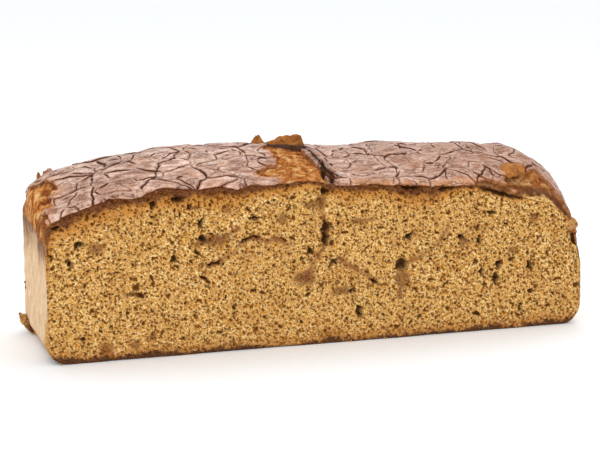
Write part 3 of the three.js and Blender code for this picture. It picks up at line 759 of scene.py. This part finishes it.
# %% The surface that the crust lies on
LEFT_TURN, RIGHT_TURN, BACK_TURN = 14.0, 30.0, 36.8  # length of the crust round its shoulders
EDGE_ROUND = 1.2  # the knife rounded the crust over at the cut edge
DRAPE, STEP_DRAPE, DRAPE_WAVE = 0.2, 1.4, 0.7  # everywhere, beside a step on the left, and how it varies
CRACK_WANDER, CRACK_WANDER_SIZE = 2.4, 8.0  # how far cracks wander
FINE_WANDER, FINE_WANDER_SIZE = 0.7, 2.6


def drape(x):
    """How far the crust hangs over the cut edge."""
    at_step = smoothstep(x, -86, -89) * smoothstep(x, -104, -92)
    return DRAPE + STEP_DRAPE * at_step + DRAPE_WAVE * roughness(x / 9, 0 * x, 187)


def onto_crust(u, v):
    """Bends a point of the flat sheet so that cracks wander, and lays it round the shoulders in plan."""
    inward = np.minimum.reduce([u - SHEET["left"], SHEET["right"] - u, v - SHEET["front"], SHEET["back"] - v])
    wander, fine = CRACK_WANDER * smoothstep(inward, 0, 6), FINE_WANDER * smoothstep(inward, 0, 3)
    bend = [wander * noise(u / CRACK_WANDER_SIZE, v / CRACK_WANDER_SIZE, kind)
            + fine * noise(u / FINE_WANDER_SIZE, v / FINE_WANDER_SIZE, kind + 181) for kind in (7, 8)]
    u, v = u + bend[0], v + bend[1]
    left_turn = np.clip((LEFT_RIM_RUN - HALF - u) / LEFT_TURN, 0, 1) * np.pi / 2
    right_turn = np.clip((u - HALF + RIGHT_RIM_RUN) / RIGHT_TURN, 0, 1) * np.pi / 2
    back_turn = np.clip((v - CROWN_Y) / BACK_TURN, 0, 1) * np.pi / 2
    x = np.where(right_turn > 0, HALF - RIGHT_RIM_RUN + RIGHT_RIM_RUN * np.sin(right_turn), u)
    x = np.where(left_turn > 0, LEFT_RIM_RUN - HALF - LEFT_RIM_RUN * np.sin(left_turn), x)
    y = np.where(back_turn > 0, CROWN_Y + (BACK - CROWN_Y) * np.sin(back_turn), v)
    return x, y - drape(x) * smoothstep(v, FRONT + 5, FRONT - 1)


def crust_floor(u, v):
    x, y = onto_crust(u, v)
    over = np.maximum(0, FRONT + EDGE_ROUND - y)
    turn = np.minimum(over / EDGE_ROUND, np.pi / 2)
    drop = EDGE_ROUND * (1 - np.cos(turn)) + np.maximum(0, over - EDGE_ROUND * np.pi / 2)
    z = crust_height(x, np.maximum(y, FRONT)) - CRUST_DEPTH - drop
    y = np.where(over > 0, FRONT + EDGE_ROUND * (1 - np.sin(turn)), y)
    return lean_in(x, y, z)


hang = drape(np.linspace(-HALF, HALF, 99))
print("crust hangs over the cut edge by up to", round(float(hang.max()), 1), "mm")

# %% Walls and underside of a plate
def missing(u, v):
    """More than 0 where there is no crust: in the patches, in the fissure and past the rim."""
    x, y, z = crust_floor(u, v).T
    past_rim = 12 * (rim_share(*onto_crust(u, v)) - 0.97)
    return np.maximum.reduce([inside_patch(x, y), inside_fissure(x, y)[0], past_rim])


def close_plate(bm):
    """Takes away what is missing and gives the plate walls and an underside."""
    middles = np.array([face.calc_center_median() for face in bm.faces])
    gone = missing(middles[:, 0], middles[:, 1]) > 0
    bmesh.ops.delete(bm, geom=[face for face, lost in zip(bm.faces[:], gone) if lost], context="FACES")
    rim = [edge for edge in bm.edges if len(edge.link_faces) == 1]
    for edge in rim:
        edge.smooth = False
    walls = bmesh.ops.extrude_edge_only(bm, edges=rim)["geom"]
    lower = [item for item in walls if isinstance(item, bmesh.types.BMVert)]
    bmesh.ops.translate(bm, verts=lower, vec=(0, 0, -1))
    lower_rim = [e for e in walls if isinstance(e, bmesh.types.BMEdge) and len(e.link_faces) == 1]
    bmesh.ops.triangle_fill(bm, edges=lower_rim, use_beauty=False)
    bmesh.ops.recalc_face_normals(bm, faces=bm.faces[:])


lengthwise, crosswise = np.meshgrid(
    np.linspace(SHEET["left"], SHEET["right"], 200), np.linspace(SHEET["front"], SHEET["back"], 60)
)
share_gone = (missing(lengthwise.ravel(), crosswise.ravel()) > 0).mean()
print("crust is missing on", round(100 * float(share_gone)), "percent of the sheet")

# %% All plates in one mesh
def narrow_cracks(spot, sides):
    """Draws the plate's edges together here and there, so that a crack is not equally wide all along."""
    together = 0.9 * smoothstep(noise(spot[:, 0] / 6, spot[:, 1] / 6, 188), -0.3, 0.7)
    for edge, toward, width in sides:
        near = np.clip(1 - ((edge - spot) @ toward) / 1.5, 0, 1)
        spot = spot + (width * together * near)[:, None] * toward
    return spot


sheet = bmesh.new()
to_crack, to_healed, lift, plate_of = [], [], [], []
for a in range(len(centres)):
    plate, sides = cut_plate(a)
    if plate.faces:
        for k in near_cracks(a):
            open_crack(plate, *FINE_CRACKS[k])
        close_plate(plate)
    if plate.faces:
        flat_plate = bpy.data.meshes.new("plate")
        plate.to_mesh(flat_plate)
        flat = read_points(flat_plate)
        opened = [(edge - flat[:, :2]) @ toward for edge, toward, width in sides if width > 0]
        healed = [(edge - flat[:, :2]) @ toward for edge, toward, width in sides if width == 0]
        to_fine, fine_lift = beside_cracks(flat[:, :2], near_cracks(a))
        to_crack.append(np.min(opened + [to_fine], axis=0))
        to_healed.append(np.min(healed + [np.full(len(flat), 50.0)], axis=0))
        lift.append(fine_lift)
        plate_of.append(np.full(len(flat), a))
        flat[:, :2] = narrow_cracks(flat[:, :2], sides)
        flat_plate.vertices.foreach_set("co", flat.ravel())
        sheet.from_mesh(flat_plate)
        bpy.data.meshes.remove(flat_plate)
    plate.free()
to_crack, to_healed, lift, plate_of = map(np.concatenate, (to_crack, to_healed, lift, plate_of))
crust_mesh = bpy.data.meshes.new("cake_crust")
sheet.to_mesh(crust_mesh)
sheet.free()
print(len(set(plate_of)), "plates with", len(crust_mesh.vertices), "vertices")

# %% [markdown]
# Laid on the loaf, a plate follows the form of the crumb with the crust's thickness added. Its edges are
# rounded off along open cracks and rise along tears, the plate as a whole tilts by a hair, and fine
# wrinkles run over it from the drying. At the rim the crust thins out into the skin of the walls. A
# Displace modifier could do this, but the distances are at hand here. The move is along the surface's own
# normal, which is measured by looking at the surface a little to each side.

# %% Places and normals on the crust
STEP = 0.15  # mm to each side
flat = read_points(crust_mesh)
u, v, upper = flat[:, 0], flat[:, 1], flat[:, 2] > -0.5
floor_points = crust_floor(u, v)
along_u = crust_floor(u + STEP, v) - crust_floor(u - STEP, v)
along_v = crust_floor(u, v + STEP) - crust_floor(u, v - STEP)
normal = np.cross(along_u, along_v)
normal = normal / np.maximum(np.linalg.norm(normal, axis=1, keepdims=True), 1e-12)
inner = smoothstep(rim_share(*onto_crust(u, v)), 0.97, 0.7)
x, y, z = floor_points.T
to_fissure = np.maximum(0, -inside_fissure(x, y)[0])
to_tear = np.minimum(np.maximum(0, -inside_patch(x, y)), to_fissure)
print("crust lies between", round(float(z.min()), 1), "and", round(float(z.max()), 1), "mm")

# %% Laying the plates on the loaf
PLATE_TILT, LEAST_TILT, MOST_TILT = 0.06, -0.4, 0.5  # mm per mm, and its limits in mm
CRACK_ROUND, CRACK_SINK = 0.3, 0.35  # the edge of an open crack is rounded off, and sinks around it
TEAR_LIP, FISSURE_CURL = 0.5, 0.6  # the crust rises at tears, and up and down along the fissure
WRINKLE, FINE_WRINKLE, PIT_DEPTH = 0.18, 0.07, 0.8
CUT_THICKNESS, UNDERSIDE, RIM_SINK = 0.7, -0.6, 0.35  # the underside and the rim lie inside the crumb
BUBBLES = (15.0, 0.3, 0.6, 1.1)  # small burst ones, in the terms of the pores
PITS = [(-97.5, -27, 1.8, 2.2), (-82, -27.5, 1.4, 1.8), (-104, -24, 1.0, 1.4)]  # larger burst bubbles
SCORCH = [(-28, 3), (-22, 4.5), (-15.5, 7)]  # a painted shadow: a dark line where curled crust stands in shade, left of the crown's flakes
PEELED = [(-58.5, -1.5, 5, 3), (-35, -6, 5, 5), (-48, -20, 3, 3)]  # only the crust's top skin is gone
from_centre = np.stack([u, v], axis=1) - centres[plate_of]
lean = np.stack([draw(plate_of, k, 181) - 0.5 for k in (1, 2)], axis=1)
tilt = np.clip(PLATE_TILT * (from_centre * lean).sum(axis=1), LEAST_TILT, MOST_TILT)
tilt = tilt * (1 - np.exp(-to_healed / 5))
lip = lift * smoothstep(y, FRONT, FRONT + 4)
lip = lip - CRACK_ROUND * np.exp(-to_crack / 0.4) - CRACK_SINK * np.exp(-to_crack / 2.5)
lip = lip + TEAR_LIP * np.exp(-to_tear / 1.6)
lip = lip + FISSURE_CURL * np.exp(-to_fissure / 2.0) * noise(x / 4, y / 4, 193)
wrinkles = WRINKLE * roughness(x / 11, y / 3.6, 190, 2) + FINE_WRINKLE * roughness(x / 2.4, y / 1.1, 194, 2)
# painted shade along that line and around the flakes' feet, and on the crust round the fissure
scorched = 0.85 * np.exp(-((to_line(x, y, SCORCH) / 0.9) ** 2))
at_flake = smoothstep(to_line(x, y, FLAKE_FOOT), 4, 2) * smoothstep(to_tear, 1.6, 0.6)
scorched = np.maximum(scorched, 0.9 * at_flake)
pit = np.maximum(pores(x, y, *BUBBLES, 220), in_spots(x, y, PITS))
thickness = lerp(CRUST_DEPTH, CUT_THICKNESS, smoothstep(y, FRONT + 1.6, FRONT))
rise = np.where(upper, thickness + tilt + lip + wrinkles - PIT_DEPTH * pit, UNDERSIDE)
rise = rise * inner - RIM_SINK * (1 - inner)
write_points(crust_mesh, floor_points + rise[:, None] * normal)
keep(crust_mesh, to_crack=to_crack, to_tear=to_tear, plate=draw(plate_of, 3, 181), under=~upper, pit=pit,
     burnt=np.maximum(scorched, np.exp(-to_fissure / 1.3) * (y < 6)),
     golden=np.maximum(smoothstep(y - FRONT, 6, 0.5) * smoothstep(x, -10, 20), in_spots(x, y, PEELED)))
crust = place_piece(crust_mesh)

# %% [markdown]
# Where the crust tore, flakes of it bend up from their roots: two on the crown, one folded over the right
# patch and one at the back left corner. A Simple Deform modifier could bend a slab, but its outer edge has
# to be ragged as well. So a flake starts as a finely divided box, and every point of it is moved along an
# arc by its share of the flake's reach.

# %% Shape of a curled flake
FLAKES = [  # x, y, heading, width, share of it at the tip, reach, slant, lift, curl
    (-9.3, 11, 55, 24, 0.85, 7, 0.6, 62, 45), (-19, 21, 80, 13, 0.15, 7.4, 0.3, 55, 50),
    (102, -15, -112, 11, 1.05, 15, 0.2, 40, -110), (-125, 24, 150, 8, 0.4, 5.2, 0.3, 50, 30),
]
SLIVERS = [  # thin bits of crust that stand along the fissure, and one at the left rim
    (3.6, -9, 190, 7, 0.4, 4, 0.3, 35, 20), (4.0, -18, 165, 6, 0.5, 4.5, 0.3, 30, 25),
    (5.6, -25, 200, 8, 0.5, 4.5, 0.2, 28, 15), (6.2, -33, 175, 6, 0.4, 4, 0.4, 35, 20),
    (-122, 22, 100, 7, 0.6, 5.0, 0.3, 60, 25),
]
FLAKE_THICKNESS, FLAKE_RAGGEDNESS, FLAKE_ROOT = 1.1, 0.12, CRUST_DEPTH + 0.8
FLAKE_FULL_FROM, FLAKE_FULL_TO = -0.55, 0.1  # a flake has its full reach only past this part of its width
TORN_EDGE, SIDE_WAVE = 0.06, 0.12  # fine tears of the outer edge, and waves of the sides


def flake_points(box, index, at_x, at_y, heading, width, tip, reach, slant, lift, curl):
    across, share = box[:, 0], box[:, 1] + 0.5
    first, bend = math.radians(lift), math.radians(curl)
    out_x, out_y = math.cos(math.radians(heading)), math.sin(math.radians(heading))
    angle = first + bend * share
    torn_edge = TORN_EDGE * roughness(9 * across + index, 0 * across, 197, 3)
    ragged = 1 + (FLAKE_RAGGEDNESS * noise(3 * across, 0 * across + index, 11) + torn_edge) * share
    radius = reach * ragged * lerp(1 - slant, 1, smoothstep(across, FLAKE_FULL_FROM, FLAKE_FULL_TO)) / bend
    thickness = box[:, 2] * FLAKE_THICKNESS * lerp(1, 0.5, share)
    forward = radius * (np.sin(angle) - math.sin(first)) - thickness * np.sin(angle)
    up = radius * (math.cos(first) - np.cos(angle)) + thickness * np.cos(angle)
    waved = 1 + SIDE_WAVE * roughness(3 * share, 0 * share + index, 198)
    side = across * width * lerp(1, tip, share) * waved
    root = crust_height(np.array([float(at_x)]), np.array([float(at_y)]))[0] - FLAKE_ROOT
    x, y = at_x + forward * out_x + side * out_y, at_y + forward * out_y - side * out_x
    return np.stack([x, y, root + up], axis=1)


print(len(FLAKES), "flakes and", len(SLIVERS), "slivers")

# %% All flakes in one mesh
flakes = bmesh.new()
flake_boxes, turned_over = [], []
for index, flake in enumerate(FLAKES + SLIVERS):
    slab = bmesh.new()
    divided_box(slab, (36, 14, 2) if index < len(FLAKES) else (12, 6, 2))
    flat_flake = bpy.data.meshes.new("flake")
    slab.to_mesh(flat_flake)
    slab.free()
    slab_box = read_points(flat_flake)
    flake_boxes.append(slab_box)
    turned_over.append(np.full(len(slab_box), index < len(FLAKES)))
    write_points(flat_flake, flake_points(slab_box, index, *flake))
    flakes.from_mesh(flat_flake)
    bpy.data.meshes.remove(flat_flake)
bmesh.ops.recalc_face_normals(flakes, faces=flakes.faces[:])
flake_mesh = bpy.data.meshes.new("crust_flakes")
flakes.to_mesh(flake_mesh)
flakes.free()
slabs, turned_over = np.concatenate(flake_boxes), np.concatenate(turned_over)
same = np.ones(len(slabs))
inner_side = np.where(turned_over, slabs[:, 2], -slabs[:, 2])
# painted shade at the roots of the large flakes
keep(flake_mesh, to_crack=9 * same, to_tear=1.5 * same, plate=0.5 * same, pit=0 * same, golden=0 * same,
     under=smoothstep(inner_side, -0.2, 0.2), burnt=0.85 * turned_over * smoothstep(slabs[:, 1], 0.0, -0.3))
flake_piece = place_piece(flake_mesh)

# %% [markdown]
# Cutting a cake leaves crumbs. A few larger scraps hang at the foot of the left end and on the right
# corner, and small crumbs lie along the lower edge. Each is a small ball whose radius is uneven, joined
# into one piece. They keep their true size, so they are simply few and small.

# %% Loose crumbs and scraps
SCRAPS = [  # x, y, z, radius
    (125.2, -33, 49.2, 5.0), (-129.5, 24, 5, 4), (-132.4, 24.5, 5.4, 2.7), (-134.2, 25.5, 7.0, 2.1),
    (-135.6, 26.4, 8.4, 1.4), (-136.8, 27, 9.6, 0.7), (-133.0, 29, 22, 0.9), (-133.4, 30, 24.5, 0.6),
]
SMALL_CRUMBS, CRUMB_UNEVENNESS = 12, 0.36
scatter = np.random.default_rng(7)


def crumb_ball(bm, at, radius, index, subdivisions):
    made = bmesh.ops.create_icosphere(bm, subdivisions=subdivisions, radius=1)["verts"]
    way = np.array([v.co for v in made])
    across, along = 1.9 * way[:, 0] + way[:, 2] + 5 * index, 1.9 * way[:, 1] - way[:, 2]
    uneven = 1 + CRUMB_UNEVENNESS * roughness(across, along, 199, 4)
    for vert, spot in zip(made, way * (radius * uneven)[:, None] + at):
        vert.co = Vector(spot)


crumbs = bmesh.new()
for index, (*at, radius) in enumerate(SCRAPS):
    crumb_ball(crumbs, np.array(at), radius, index, 4)
for index in range(SMALL_CRUMBS):
    along = scatter.uniform(-HALF + 4, HALF - 10)
    size = scatter.uniform(0.25, 0.55)
    out = scatter.uniform(0, 1.4) ** 2 * 0.5
    at = np.array([along, FRONT + 0.9 - out, 0.75 * size])
    crumb_ball(crumbs, at, size, index, 1)
loose_mesh = bpy.data.meshes.new("loose_crumbs")
crumbs.to_mesh(loose_mesh)
crumbs.free()
loose_points = read_points(loose_mesh)
write_points(loose_mesh, loose_points)
same = np.ones(len(loose_points))
scrap = same * ((np.abs(loose_points[:, 0]) > 123) & (loose_points[:, 2] > 1.3))
right_scrap = scrap * (loose_points[:, 0] > 0)
left_root = scrap * smoothstep(loose_points[:, 0], -136, -132.5) * (1 - right_scrap)
unmarked = dict.fromkeys(("hole", "dense", "frayed", "skin", "toasted", "rind", "hidden"), 0 * same)
# the right scrap is darker, and the left scraps darker towards the loaf
keep(loose_mesh, pore=0.4 * roughness(loose_points[:, 0] / 2, loose_points[:, 2] / 2, 210), torn=right_scrap,
     burnt=np.maximum(0.4 * right_scrap, left_root), fold=0.3 * scrap, band=20 * same, over_base=9 * same,
     **unmarked)
loose = place_piece(loose_mesh)

# %% [markdown]
# Materials are written as sums. A small class wraps one socket of a material's node tree, so that adding
# or multiplying two of them adds a Math node. Any other node comes from one method that takes the node's
# type, its settings and its inputs. That keeps a material as readable as the colours it describes.

# %% Shader sums
class Shade:
    def __init__(self, tree, socket=None):
        self.tree, self.socket = tree, socket

    def node(self, kind, settings=None, inputs=None, output=0):
        made = self.tree.nodes.new(kind)
        for name, value in (settings or {}).items():
            setattr(made, name, value)
        for key, value in (inputs or {}).items():
            if isinstance(value, Shade):
                self.tree.links.new(value.socket, made.inputs[key])
            else:
                made.inputs[key].default_value = value
        return Shade(self.tree, made.outputs[output] if made.outputs else None)

    def sum(self, operation, a, b):
        return self.node("ShaderNodeMath", {"operation": operation}, {0: a, 1: b})

    def __add__(self, other):
        return self.sum("ADD", self, other)

    def __sub__(self, other):
        return self.sum("SUBTRACT", self, other)

    def __mul__(self, other):
        return self.sum("MULTIPLY", self, other)

    def __rsub__(self, other):
        return self.sum("SUBTRACT", other, self)

    __radd__, __rmul__ = __add__, __mul__

    def between(self, low, high):
        """0 at low and 1 at high, eased."""
        settings = {"interpolation_type": "SMOOTHSTEP"}
        return self.node("ShaderNodeMapRange", settings, {0: self, 1: low, 2: high, 3: 0.0, 4: 1.0})

    def mixed(self, other, share):
        """This colour with some of another colour over it."""
        return self.node("ShaderNodeMix", {"data_type": "RGBA"}, {0: share, 6: self, 7: other}, output=2)


def paint(*channels):
    """A colour as a screen shows it, red, green and blue from 0 to 255, as the shader counts it."""
    shares = [channel / 255 for channel in channels]
    return (*(s / 12.92 if s < 0.0404 else ((s + 0.055) / 1.055) ** 2.4 for s in shares), 1.0)


print("a screen's half grey is", round(paint(128, 128, 128)[0], 3), "to the shader")


# %% Nodes that the finishes share
def new_finish(name):
    material = bpy.data.materials.new(name)
    material.use_nodes = True
    material.node_tree.nodes.clear()
    tree = Shade(material.node_tree)
    place = tree.node("ShaderNodeTexCoord", output="Object")
    in_mm = tree.node("ShaderNodeVectorMath", {"operation": "SCALE"}, {0: place, "Scale": 1 / MM})
    return material, tree, in_mm


def attribute(tree, name):
    return tree.node("ShaderNodeAttribute", {"attribute_name": name}, output="Fac")


def stretched(place, *scale):
    """The place with its x, y and z scaled, so that a noise there is drawn out."""
    return place.node("ShaderNodeMapping", {"vector_type": "POINT"}, {"Vector": place, "Scale": scale})


def grain(place, scale, detail=2.0, rough=0.5):
    inputs = {"Vector": place, "Scale": scale, "Detail": detail, "Roughness": rough}
    return place.node("ShaderNodeTexNoise", None, inputs)


def ramp(value, *stops):
    """A colour for each value, blended from stops: a value, and the colour that belongs to it."""
    made = value.node("ShaderNodeValToRGB", None, {0: value})
    elements = made.socket.node.color_ramp.elements
    while len(elements) < len(stops):
        elements.new(0.5)
    for element, (position, colour) in zip(elements, stops):
        element.position, element.color = position, colour
    return made


def finish(tree, colour, rough, relief, height, specular):
    bump = tree.node("ShaderNodeBump", None, {"Strength": 1.0, "Distance": height * MM, "Height": relief})
    settings = {"Base Color": colour, "Roughness": rough, "Normal": bump, "Specular IOR Level": specular}
    surface = tree.node("ShaderNodeBsdfPrincipled", None, settings)
    tree.node("ShaderNodeOutputMaterial", None, {"Surface": surface})


print("helpers:", [helper.__name__ for helper in (new_finish, attribute, stretched, grain, ramp, finish)])

# %% [markdown]
# The crumb is golden on the bubbles' walls, partly as a painted highlight where they would catch the light,
# and has painted shade in the pores and holes, in the torn crumb's crevices, in the fissure and under the
# flakes. It has a browner band below the crust, dense reddish folds, a baked base and pale skin where the
# tin was, with painted shade below the rim. A picture could be laid on it, but a loaf needs one for every
# side. Its grain is finer than the mesh, so noises and a cell pattern add the smallest pores, in colour and
# as bump. All colours were set a little lighter than they look because shade darkens them.

# %% Grain and small pores of the crumb
crumb_finish, tree, place = new_finish("cake crumb")
fine = grain(place, 1.15, 3.0, 0.6)
clumps = grain(place, 0.24)
broad = grain(place, 0.09)
wall = fine.between(0.3, 0.72)
cell_inputs = {"Vector": place, "Scale": 0.62}
cells = tree.node("ShaderNodeTexVoronoi", None, cell_inputs)
cell_draw = tree.node("ShaderNodeTexVoronoi", None, cell_inputs, output="Color")
size_draw = tree.node("ShaderNodeSeparateColor", None, {0: cell_draw})
# painted shade in the smallest pores, from a cell pattern
pit = (cells + 0.5 * fine - 0.32 * size_draw).between(0.42, 0.2)
pore = attribute(tree, "pore")
torn = attribute(tree, "torn")
open_pore = tree.sum("MAXIMUM", pit * (1 - 0.85 * torn) * 0.8, pore.between(0.05, 0.8) * 0.88)
print("grain of the crumb:", len(crumb_finish.node_tree.nodes), "nodes")

# %% Colours of the cut and the torn crumb
# the light end of the golden ramp is partly a painted highlight where the bubbles' walls would catch the
# light
gold = ramp(wall, (0.0, paint(178, 108, 26)), (0.45, paint(234, 178, 94)), (1.0, paint(255, 228, 170)))
colour = gold.mixed(paint(206, 146, 74), broad.between(0.45, 0.75) * 0.4)
colour = colour.mixed(paint(182, 120, 60), clumps.between(0.5, 0.72) * 0.45)
band = attribute(tree, "band") + 1.3 * broad + 1.5 * clumps - 1.4
colour = colour.mixed(paint(200, 126, 48), band.between(3.2, 1.4) * 0.7)
colour = colour.mixed(paint(98, 56, 42), band.between(1.5, 0.6) * (0.15 + 1.4 * fine))
colour = colour.mixed(paint(138, 78, 48), attribute(tree, "fold") * (0.4 + 1.0 * fine))
colour = colour.mixed(paint(112, 64, 42), attribute(tree, "dense") * (0.25 + 0.65 * fine.between(0.35, 0.62)))
fibres = grain(stretched(place, 0.2, 0.2, 0.34), 1.0, 4.0, 0.6).between(0.28, 0.72)
bare = ramp(fibres, (0.0, paint(148, 68, 18)), (0.5, paint(218, 142, 74)), (1.0, paint(248, 202, 136)))
colour = colour.mixed(bare, torn)
# painted shade on the torn crumb's risers and hollows, and red crumb at the left edge
colour = colour.mixed(paint(112, 48, 16), attribute(tree, "frayed") * 0.75)
# painted shade under the flake's foot and in the fissure, and darker crumb at the right patch and the scraps
colour = colour.mixed(paint(98, 58, 40), attribute(tree, "burnt") * (0.5 + 0.85 * clumps))
# painted shade in the pores and holes
colour = colour.mixed(paint(120, 62, 0), open_pore)
colour = colour.mixed(paint(58, 34, 20), attribute(tree, "hole") * 0.88)
print("with the colours of the crumb:", len(crumb_finish.node_tree.nodes), "nodes")

# %% Skin and base of the crumb
skin = attribute(tree, "skin")
runs = grain(stretched(place, 0.55, 0.55, 0.16), 1.0, 5.0, 0.7)
pale = ramp(runs, (0.32, paint(196, 152, 108)), (0.5, paint(225, 193, 153)), (0.68, paint(242, 216, 182)))
# painted shade below the rim, over some browning
toasted = (attribute(tree, "toasted") + 0.9 * clumps + 0.5 * fine - 0.7).between(-0.1, 1.2)
pale = pale.mixed(paint(132, 82, 56), toasted * 0.85)
pale = pale.mixed(paint(100, 60, 44), (attribute(tree, "toasted") + 0.8 * clumps).between(0.9, 1.4) * 0.6)
colour = colour.mixed(pale, skin)
colour = colour.mixed(paint(158, 92, 44), attribute(tree, "rind") * 0.8)
over_base = attribute(tree, "over_base") + 6.0 * clumps + 3.0 * fine - 4.5
colour = colour.mixed(paint(180, 110, 46), over_base.between(6.0, 1.0) * 0.6)
dark_base = ramp(fine, (0.2, paint(62, 38, 24)), (0.8, paint(130, 84, 52)))
colour = colour.mixed(dark_base, over_base.between(1.8, -0.4))
# painted shade on the crumb under the crust, seen through its cracks
colour = colour.mixed(paint(96, 44, 18), attribute(tree, "hidden"))
relief = (wall - open_pore) * (1 - 0.8 * skin)
finish(tree, colour, 0.95 - 0.2 * skin, relief, 0.5, 0.06)
print("crumb finish:", len(crumb_finish.node_tree.nodes), "nodes")

# %% [markdown]
# The crust is smooth and satin, a milky tan. The lips of the cracks get a painted highlight, it is browner
# towards tears and orange-brown underneath, and it has painted shade in its pits, around the fissure and at
# the flakes' feet. Low contrast noise stretched along the loaf gives the drying marks, and the light end and
# lilac touch of their colours are partly painted sheen. Hairline cracks could be cut like the larger ones,
# but they are finer than the mesh, so they are painted as thin lines where a broad noise crosses one value.
# The sides of the open cracks are painted dark brown as shade, because reflected light would fill such thin
# gaps.

# %% Grain and hairline cracks of the crust
crust_finish, tree, place = new_finish("cake crust")
soft = grain(place, 0.05, 3.0)
tone = grain(place, 0.11)
streaks = grain(stretched(place, 0.15, 0.32, 0.32), 1.0, 2.5)
specks = grain(place, 0.9, 3.0, 0.6)
along = tree.node("ShaderNodeSeparateXYZ", None, {0: place}, output="X")
hair_place = stretched(place, 0.05, 0.13, 0.13)
hair = tree.sum("ABSOLUTE", grain(hair_place, 1.0, 3.0, 0.55) - 0.5, 0.0).between(0.014, 0.0)
short_hair = tree.sum("ABSOLUTE", grain(hair_place, 2.3) - 0.46, 0.0).between(0.02, 0.0)
print("grain of the crust:", len(crust_finish.node_tree.nodes), "nodes")

# %% Colours of the crust
# the light end and lilac tint of this ramp are partly painted sheen, over the crust's own tan
milky = [(0.0, paint(118, 60, 22)), (0.5, paint(203, 161, 139)), (1.0, paint(246, 215, 199))]
colour = ramp(streaks.between(0.22, 0.78), *milky)
colour = colour.mixed(paint(172, 110, 66), soft.between(0.45, 0.65) * 0.5)
colour = colour.mixed(paint(112, 56, 22), tone.between(0.5, 0.72) * 0.5)
colour = colour.mixed(paint(138, 88, 60), attribute(tree, "plate") * 0.3)
colour = colour.mixed(paint(156, 96, 54), along.between(-20.0, 110.0) * 0.48)
colour = colour.mixed(paint(198, 136, 88), attribute(tree, "golden") * 0.7)
to_crack = attribute(tree, "to_crack")
# painted highlight on the lips of the cracks
colour = colour.mixed(paint(230, 198, 178), to_crack.between(2.6, 1.0) * 0.35)
colour = colour.mixed(paint(126, 54, 8), to_crack.between(0.9, 0.2) * 0.6)
# painted shade in the open cracks
in_crack = to_crack.between(0.3, 0.04)
colour = colour.mixed(paint(62, 22, 4), in_crack * 0.9)
colour = colour.mixed(paint(84, 36, 6), hair * soft.between(0.35, 0.5) * 0.85)
colour = colour.mixed(paint(90, 40, 8), short_hair * tone.between(0.36, 0.5) * 0.8)
to_tear = attribute(tree, "to_tear")
colour = colour.mixed(paint(194, 126, 76), to_tear.between(3.0, 0.3) * 0.5)
colour = colour.mixed(paint(106, 48, 10), specks.between(0.49, 0.63) * 0.46)
# painted shade in the burst bubbles' pits
colour = colour.mixed(paint(92, 54, 34), attribute(tree, "pit") * 0.9)
under = attribute(tree, "under")
orange = [(0.3, paint(112, 68, 26)), (0.5, paint(172, 106, 42)), (0.7, paint(206, 140, 68))]
colour = colour.mixed(ramp(grain(place, 0.3, 4.0, 0.65), *orange), under)
# painted shade around the fissure, at the flakes' feet and along the shadow line
colour = colour.mixed(paint(66, 42, 33), attribute(tree, "burnt"))
relief = 0.7 * streaks + 0.3 * specks - 0.6 * hair - 0.6 * short_hair
finish(tree, colour, 0.31 + 0.42 * under + 0.12 * specks + 0.5 * in_crack, relief, 0.3, 0.36)

for piece in (crumb, loose):
    piece.data.materials.append(crumb_finish)
for piece in (crust, flake_piece):
    piece.data.materials.append(crust_finish)
print("finishes:", [m.name for m in bpy.data.materials if m.users])

# %% [markdown]
# The cake stands on a plain white floor in soft light: a bright surround, a broad lamp from the front left
# and a smaller one behind that gives the crust its sheen. One hard lamp would be simpler, but it would
# fill every pore with black.

# %% Floor and light
white = bpy.data.materials.new("white floor")
white.use_nodes = True
white.node_tree.nodes["Principled BSDF"].inputs["Base Color"].default_value = (0.955, 0.98, 1.0, 1)
white.node_tree.nodes["Principled BSDF"].inputs["Roughness"].default_value = 0.9
floor_shape = bmesh.new()
bmesh.ops.create_grid(floor_shape, x_segments=1, y_segments=1, size=12)
floor_mesh = bpy.data.meshes.new("floor")
floor_shape.to_mesh(floor_mesh)
floor_shape.free()
floor_mesh.materials.append(white)
floor = bpy.data.objects.new("floor", floor_mesh)
bpy.context.scene.collection.objects.link(floor)

surround = bpy.data.worlds.new("surround")
surround.use_nodes = True
surround.node_tree.nodes["Background"].inputs["Color"].default_value = (1, 1, 1, 1)
surround.node_tree.nodes["Background"].inputs["Strength"].default_value = 1.0
bpy.context.scene.world = surround


def add_lamp(name, at, aim, size, power):
    lamp = bpy.data.lights.new(name, "AREA")
    lamp.size, lamp.energy = size, power
    stand = bpy.data.objects.new(name, lamp)
    bpy.context.scene.collection.objects.link(stand)
    stand.location = at
    stand.rotation_euler = (Vector(aim) - Vector(at)).to_track_quat("-Z", "Y").to_euler()


add_lamp("front lamp", (-0.5, -1.5, 0.9), (0, 0, 0.05), 1.2, 8)
add_lamp("top lamp", (0.3, 0.5, 1.3), (0, 0, 0.05), 0.8, 3)
print("lamps:", [lamp.name for lamp in bpy.data.lights])

# %% [markdown]
# The camera looks from a little to the left and above, where the cut face, the crust and the left end all
# show. A long lens from further away keeps the loaf's proportions, where a short one would make its near
# end look too large.

# %% Camera
TARGET, DISTANCE = Vector((-3.679, -1.0, 50.868)) * MM, 780 * MM
YAW, PITCH = math.radians(-17.539), math.radians(10.646)
LENS, SENSOR = 96.01, 36.0
view = bpy.data.cameras.new("camera")
view.lens, view.sensor_width = LENS, SENSOR
camera = bpy.data.objects.new("camera", view)
bpy.context.scene.collection.objects.link(camera)
toward_camera = Vector((math.sin(YAW) * math.cos(PITCH), -math.cos(YAW) * math.cos(PITCH), math.sin(PITCH)))
camera.location = TARGET + DISTANCE * toward_camera
camera.rotation_euler = toward_camera.to_track_quat("Z", "Y").to_euler()
bpy.context.scene.camera = camera
bpy.context.scene.view_settings.view_transform = "Standard"
print("camera stands at", [round(v, 2) for v in camera.location], "m")
